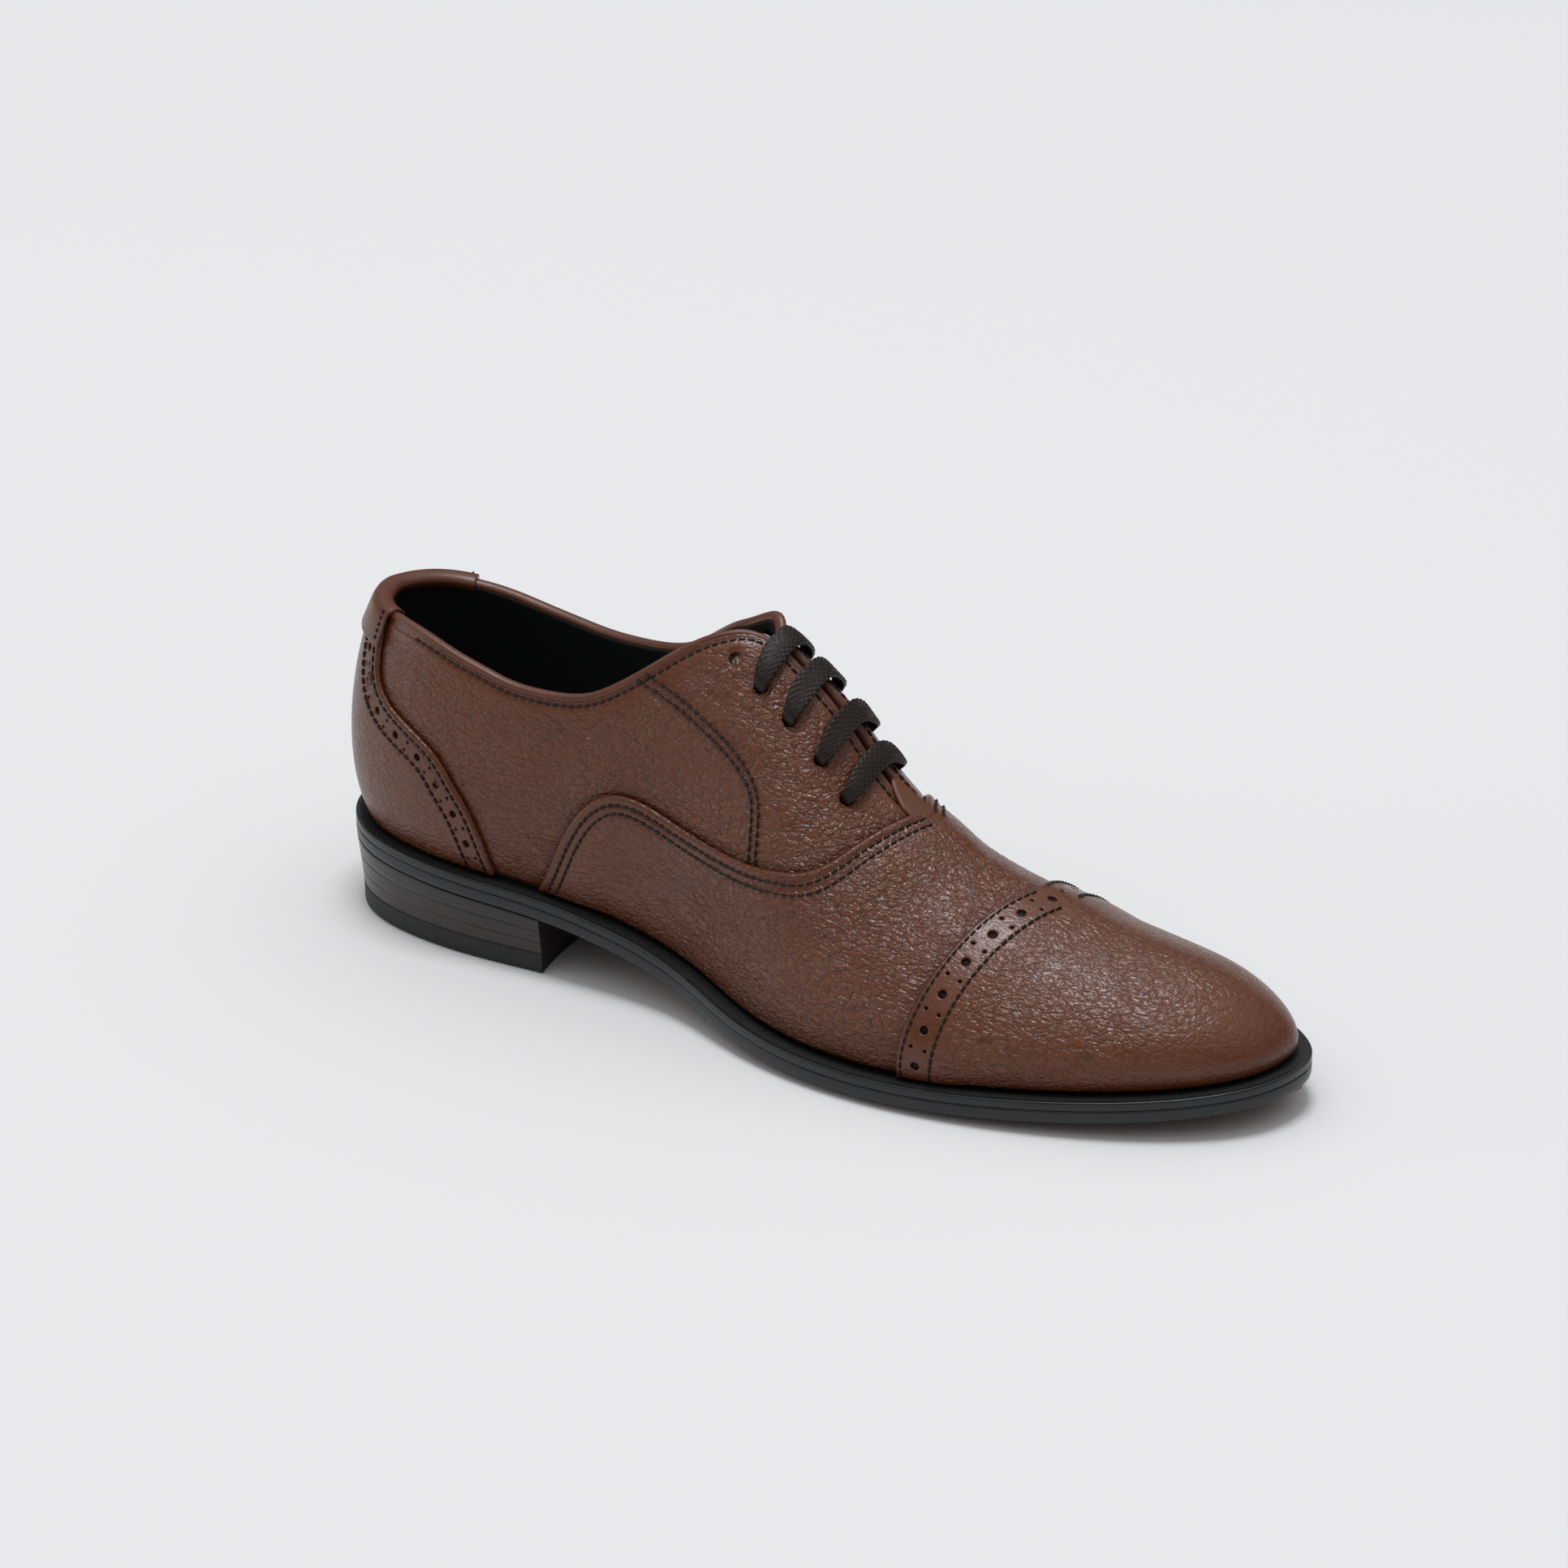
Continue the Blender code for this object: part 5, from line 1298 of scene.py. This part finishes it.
def outline_points(loop, grow):
    """Plan points of the sole's outline, grown by a value at each point."""
    out = []
    for (side, u), extra in zip(loop, np.broadcast_to(grow, len(loop))):
        x, y = feather(side, u, ledge(u) + extra)
        out.append((float(x), float(y)))
    return np.array(out)


def sole_top(x):
    return feather_z(x) - WELT_THICKNESS - GAP


def stack_rings(name, rings, material_keys, node, bands=None):
    """A solid from closed rings of points, whose first and last rings close it. bands picks the materials."""
    count = len(rings[0])
    material_of = np.repeat(bands or [0] * (len(rings) - 1), count)
    piece = add_piece(name, np.concatenate(rings), tube_faces(len(rings), count, ends=False), material_keys,
                      face_materials=material_of)
    weld(piece, 0.002)
    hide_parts(node)


def crown_at(x, across):
    """How far the forepart's underside hangs below its edge; across runs from -1 to 1."""
    return SOLE_CROWN * np.clip((x - HEEL_LENGTH - 15.0) / 50.0, 0.0, 1.0) * (1 - across**2)


WHEEL_PITCH = 1.5


def build_welt():
    """The welt strip, with a wheeled pattern pressed into its upper face."""
    loop = loop_around(count=1400)
    whole = outline_points(loop, 0.0)
    reach = travel(whole)
    top = feather_z(whole[:, 0])
    wheel = 0.5 + 0.5 * np.cos(reach * 2 * math.pi / WHEEL_PITCH)
    joint = -WELT_THICKNESS - GAP
    levels = [(-0.3, joint + 0.02, 0.0), (0.02, joint + 0.1, 0.0), (0.1, joint + 0.5, 0.0), (0.12, -1.0, 0.0),
              (0.08, -0.3, 0.0), (-0.05, -0.08, 0.0), (-0.3, 0.0, 0.0), (-1.2, -0.02, 0.05),
              (-2.0, -0.05, 0.14), (-3.2, -0.1, 0.16), (-4.1, -0.3, 0.05), (-5.2, -0.6, 0.0), (-8.6, -0.7, 0.0),
              (-8.6, -2.3, 0.0)]
    rings = []
    for grow, height, ridged in levels:
        plan = outline_points(loop, grow)
        rings.append(np.column_stack([plan, top + height - ridged * wheel]))
    rings.append(rings[0])
    bands = [0 if level < 7 else 1 for level in range(len(rings) - 1)]
    stack_rings("welt_strip", rings, ["edge", "welt"], "welt", bands)


def build_outsole():
    loop = loop_around(count=900)
    whole = outline_points(loop, 0.0)
    top = sole_top(whole[:, 0])
    rings = [np.column_stack([outline_points(loop, -6.0), top + 0.3]),
             np.column_stack([outline_points(loop, -0.3), top - 0.02]),
             np.column_stack([outline_points(loop, 0.02), top - 0.1])]
    for grow, height in ((0.1, -0.5), (0.12, -1.9), (0.06, -3.0), (-0.1, -3.5), (-0.4, -3.74), (-0.9, -3.8)):
        rings.append(np.column_stack([outline_points(loop, grow), top + height]))
    bands = [0] * (len(rings) - 1)
    edge = rings[-1]
    half = np.array([feather(side, u, ledge(u) - 0.9)[1] for side, u in loop])
    other = np.array([feather(-side, u, ledge(u) - 0.9)[1] for side, u in loop])
    middle = (half + other) / 2
    for share in np.linspace(0.94, 0.0, 22):
        ring = edge.copy()
        ring[:, 1] = middle + (edge[:, 1] - middle) * share
        ring[:, 2] = edge[:, 2] - crown_at(edge[:, 0], share)
        rings.append(ring)
        bands.append(1)
    stack_rings("outsole_leather", rings, ["edge", "sole_paint"], "outsole", bands)


def heel_outline(grow, count=420):
    """Plan of a heel layer: round the back, and straight with a hollow across the breast."""
    end = float(np.interp(HEEL_LENGTH, outline_x(np.linspace(0, 1, 2001)), np.linspace(0, 1, 2001)))
    loop = loop_around(end, count)
    plan = outline_points(loop, grow)
    first, last = plan[count // 2 - 1], plan[count // 2]
    shares = np.linspace(0, 1, 40)[1:-1, None]
    breast = first + (last - first) * shares
    breast[:, 0] -= BREAST_HOLLOW * (1 - (2 * shares[:, 0] - 1) ** 2)
    return np.concatenate([plan[: count // 2], breast, plan[count // 2 :]])


def heel_layer(name, low, high, grow_low, grow_high, material, node, soften):
    """A slab of the heel with softened rims. low and high give heights at x."""
    rings = []
    reach = [(0.0, -soften), (soften, 0.0)]
    for up, inset in reach:
        plan = heel_outline(grow_low + inset)
        rings.append(np.column_stack([plan, low(plan[:, 0]) + up]))
    for share in (0.25, 0.5, 0.75):
        plan = heel_outline(grow_low + (grow_high - grow_low) * share)
        rings.append(np.column_stack([plan, low(plan[:, 0]) * (1 - share) + high(plan[:, 0]) * share]))
    for up, inset in reversed(reach):
        plan = heel_outline(grow_high + inset)
        rings.append(np.column_stack([plan, high(plan[:, 0]) - up]))
    closed = []
    for ring, before in ((rings[0], True), (rings[-1], False)):
        middle = np.array((40.0, 0.0))
        inner = []
        for share in (0.7, 0.4, 0.1, 0.0):
            plan = middle + (ring[:, :2] - middle) * share
            height = (low if before else high)(plan[:, 0])
            inner.append(np.column_stack([plan, height]))
        closed.append(inner[::-1] if before else inner)
    rings = closed[0] + rings + closed[1]
    stack_rings(name, rings, [material], node)


def build_heel():
    base = TOP_PIECE_THICKNESS + 0.1
    heel_layer("top_piece_slab", lambda x: 0.0 * x, lambda x: 0.0 * x + base,
               -HEEL_TAPER, -HEEL_TAPER + 0.1, "rubber", "heel_top_piece", 0.4)

    def level(share):
        return lambda x: base + (sole_top(x) - OUTSOLE_THICKNESS - base) * share

    for number in range(HEEL_LIFTS):
        low, high = number / HEEL_LIFTS, (number + 1) / HEEL_LIFTS
        heel_layer(f"heel_lift_{number + 1}_slab", level(low + 0.001), level(high - 0.001),
                   -HEEL_TAPER * (1 - low), -HEEL_TAPER * (1 - high), "stack",
                   f"heel_lift_{number + 1}", 0.03)


def build_sock():
    """The sock liner, seen through the mouth of the shoe."""
    rows = np.linspace(0.0, 1.0, 160)
    shares = np.linspace(0, 1, 40)
    points = []
    for u in rows:
        near = np.array(feather(LATERAL, u, LINING_INSIDE - 1.8))
        far = np.array(feather(MEDIAL, u, LINING_INSIDE - 1.8))
        for share in shares:
            x, y = near + (far - near) * share
            rim = 0.6 * max(abs(2 * share - 1) - 0.85, 0) / 0.15
            z = feather_z(x) + 2 * GAP + INSOLE_THICKNESS + SOCK_THICKNESS - rim
            points.append((x, y, float(z)))
    faces = grid_faces(len(rows), len(shares), flip=True).tolist()
    piece = add_piece("sock_liner_cloth", np.array(points), faces, ["lining"])
    thicken(piece, SOCK_THICKNESS)
    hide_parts("sock_liner")


def dress_frame():
    """Materials for the CAD nodes that stay, most of them hidden inside."""
    keys = {"board": ("facing_stay_lateral", "facing_stay_medial", "heel_stiffener", "toe_puff",
                      "insole_board"),
            "cork": ("forepart_filler", "heel_seat_filler"),
            "lining": ("vamp_lining",),
            "aglet": ("aglet_1", "aglet_2")}
    chosen = {node: key for key, nodes in keys.items() for node in nodes}
    for node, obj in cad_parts.items():
        key = chosen.get(node)
        if node.startswith(("eyelet", "heel_nail", "shank")):
            key = "steel"
        if key:
            for place in obj.material_slots:
                place.material = materials[key]


# ------------------------------------------------------------------------------------------------- studio


# Metres. SKY_RISE carries a direction's height to the sky's strength.
FLOOR_HALF = 6.0
FLOOR_DROP = 0.0002
FLOOR_COLOR = (0.80, 0.805, 0.80, 1.0)
SKY_COLOR = (0.97, 0.985, 1.0, 1.0)
SKY_RISE = {"From Min": 0.3, "From Max": 0.8, "To Min": 0.14, "To Max": 0.80}

# Name, place, target, size, power and colour of each light.
LIGHTS = [("overhead", (0.05, 0.1, 5.0), (0.05, 0.0, 0.04), 1.5, 115.0, (0.94, 0.95, 1.0)),
          ("left", (-1.5, -1.0, 0.3), (0.0, 0.0, 0.05), 0.7, 3.5, (1.0, 0.985, 0.96))]

CAMERA_ANGLES = (32.54, 25.0, -0.58)
CAMERA_DISTANCE = 1.714
CAMERA_TARGET = (137.2, 2.6, 60.0)
CAMERA_LENS = 140.8
CAMERA_SENSOR = 36.0
CAMERA_CLIP = 20.0


def build_floor():
    mesh = bpy.data.meshes.new("floor")
    size = FLOOR_HALF
    corners = [(-size, -size, 0), (size, -size, 0), (size, size, 0), (-size, size, 0)]
    mesh.from_pydata(corners, [], [(0, 1, 2, 3)])
    mesh.materials.append(Nodes("studio_floor").finish(FLOOR_COLOR, 0.9, Specular_IOR_Level=0.1))
    floor = bpy.data.objects.new("floor", mesh)
    floor.location.z = -FLOOR_DROP
    bpy.context.scene.collection.objects.link(floor)


def build_sky():
    """Soft light that is stronger from above."""
    world = bpy.data.worlds.new("studio")
    world.use_nodes = True
    nodes, links = world.node_tree.nodes, world.node_tree.links
    background = nodes["Background"]
    background.inputs["Color"].default_value = SKY_COLOR
    direction = nodes.new("ShaderNodeTexCoord")
    split = nodes.new("ShaderNodeSeparateXYZ")
    rise = nodes.new("ShaderNodeMapRange")
    links.new(direction.outputs["Generated"], split.inputs[0])
    links.new(split.outputs["Z"], rise.inputs["Value"])
    for socket, value in SKY_RISE.items():
        rise.inputs[socket].default_value = value
    links.new(rise.outputs["Result"], background.inputs["Strength"])
    bpy.context.scene.world = world


def add_area(name, place, target, size, power, color):
    light = bpy.data.lights.new(name, "AREA")
    light.size = size
    light.energy = power
    light.color = color
    obj = bpy.data.objects.new(name, light)
    obj.location = place
    obj.rotation_euler = (Vector(target) - Vector(place)).to_track_quat("-Z", "Y").to_euler()
    bpy.context.scene.collection.objects.link(obj)


def build_camera():
    azimuth, elevation, roll = (math.radians(angle) for angle in CAMERA_ANGLES)
    back = Vector((math.sin(azimuth) * math.cos(elevation), -math.cos(azimuth) * math.cos(elevation),
                   math.sin(elevation)))
    camera = bpy.data.cameras.new("camera")
    camera.lens = CAMERA_LENS
    camera.sensor_width = CAMERA_SENSOR
    camera.clip_end = CAMERA_CLIP
    obj = bpy.data.objects.new("camera", camera)
    obj.location = Vector(to_world(CAMERA_TARGET)) + back * CAMERA_DISTANCE
    obj.rotation_euler = (-back).to_track_quat("-Z", "Y").to_euler()
    obj.rotation_euler.rotate_axis("Z", roll)
    bpy.context.scene.collection.objects.link(obj)
    bpy.context.scene.camera = obj
    bpy.context.scene.view_settings.view_transform = "Standard"


build_camera()
build_quarters()
build_vamp()
brogue_holes = build_cap() + build_foxing()
# Dark discs of painted shadow in the brogue holes.
add_hole_shade("brogue_hole_shade", brogue_holes)
build_linings()
build_edges()
build_throat_patch()
build_stitching()
build_tongue()
build_lace()
build_welt()
build_outsole()
build_heel()
build_sock()
dress_frame()
build_floor()
build_sky()
for light in LIGHTS:
    add_area(*light)
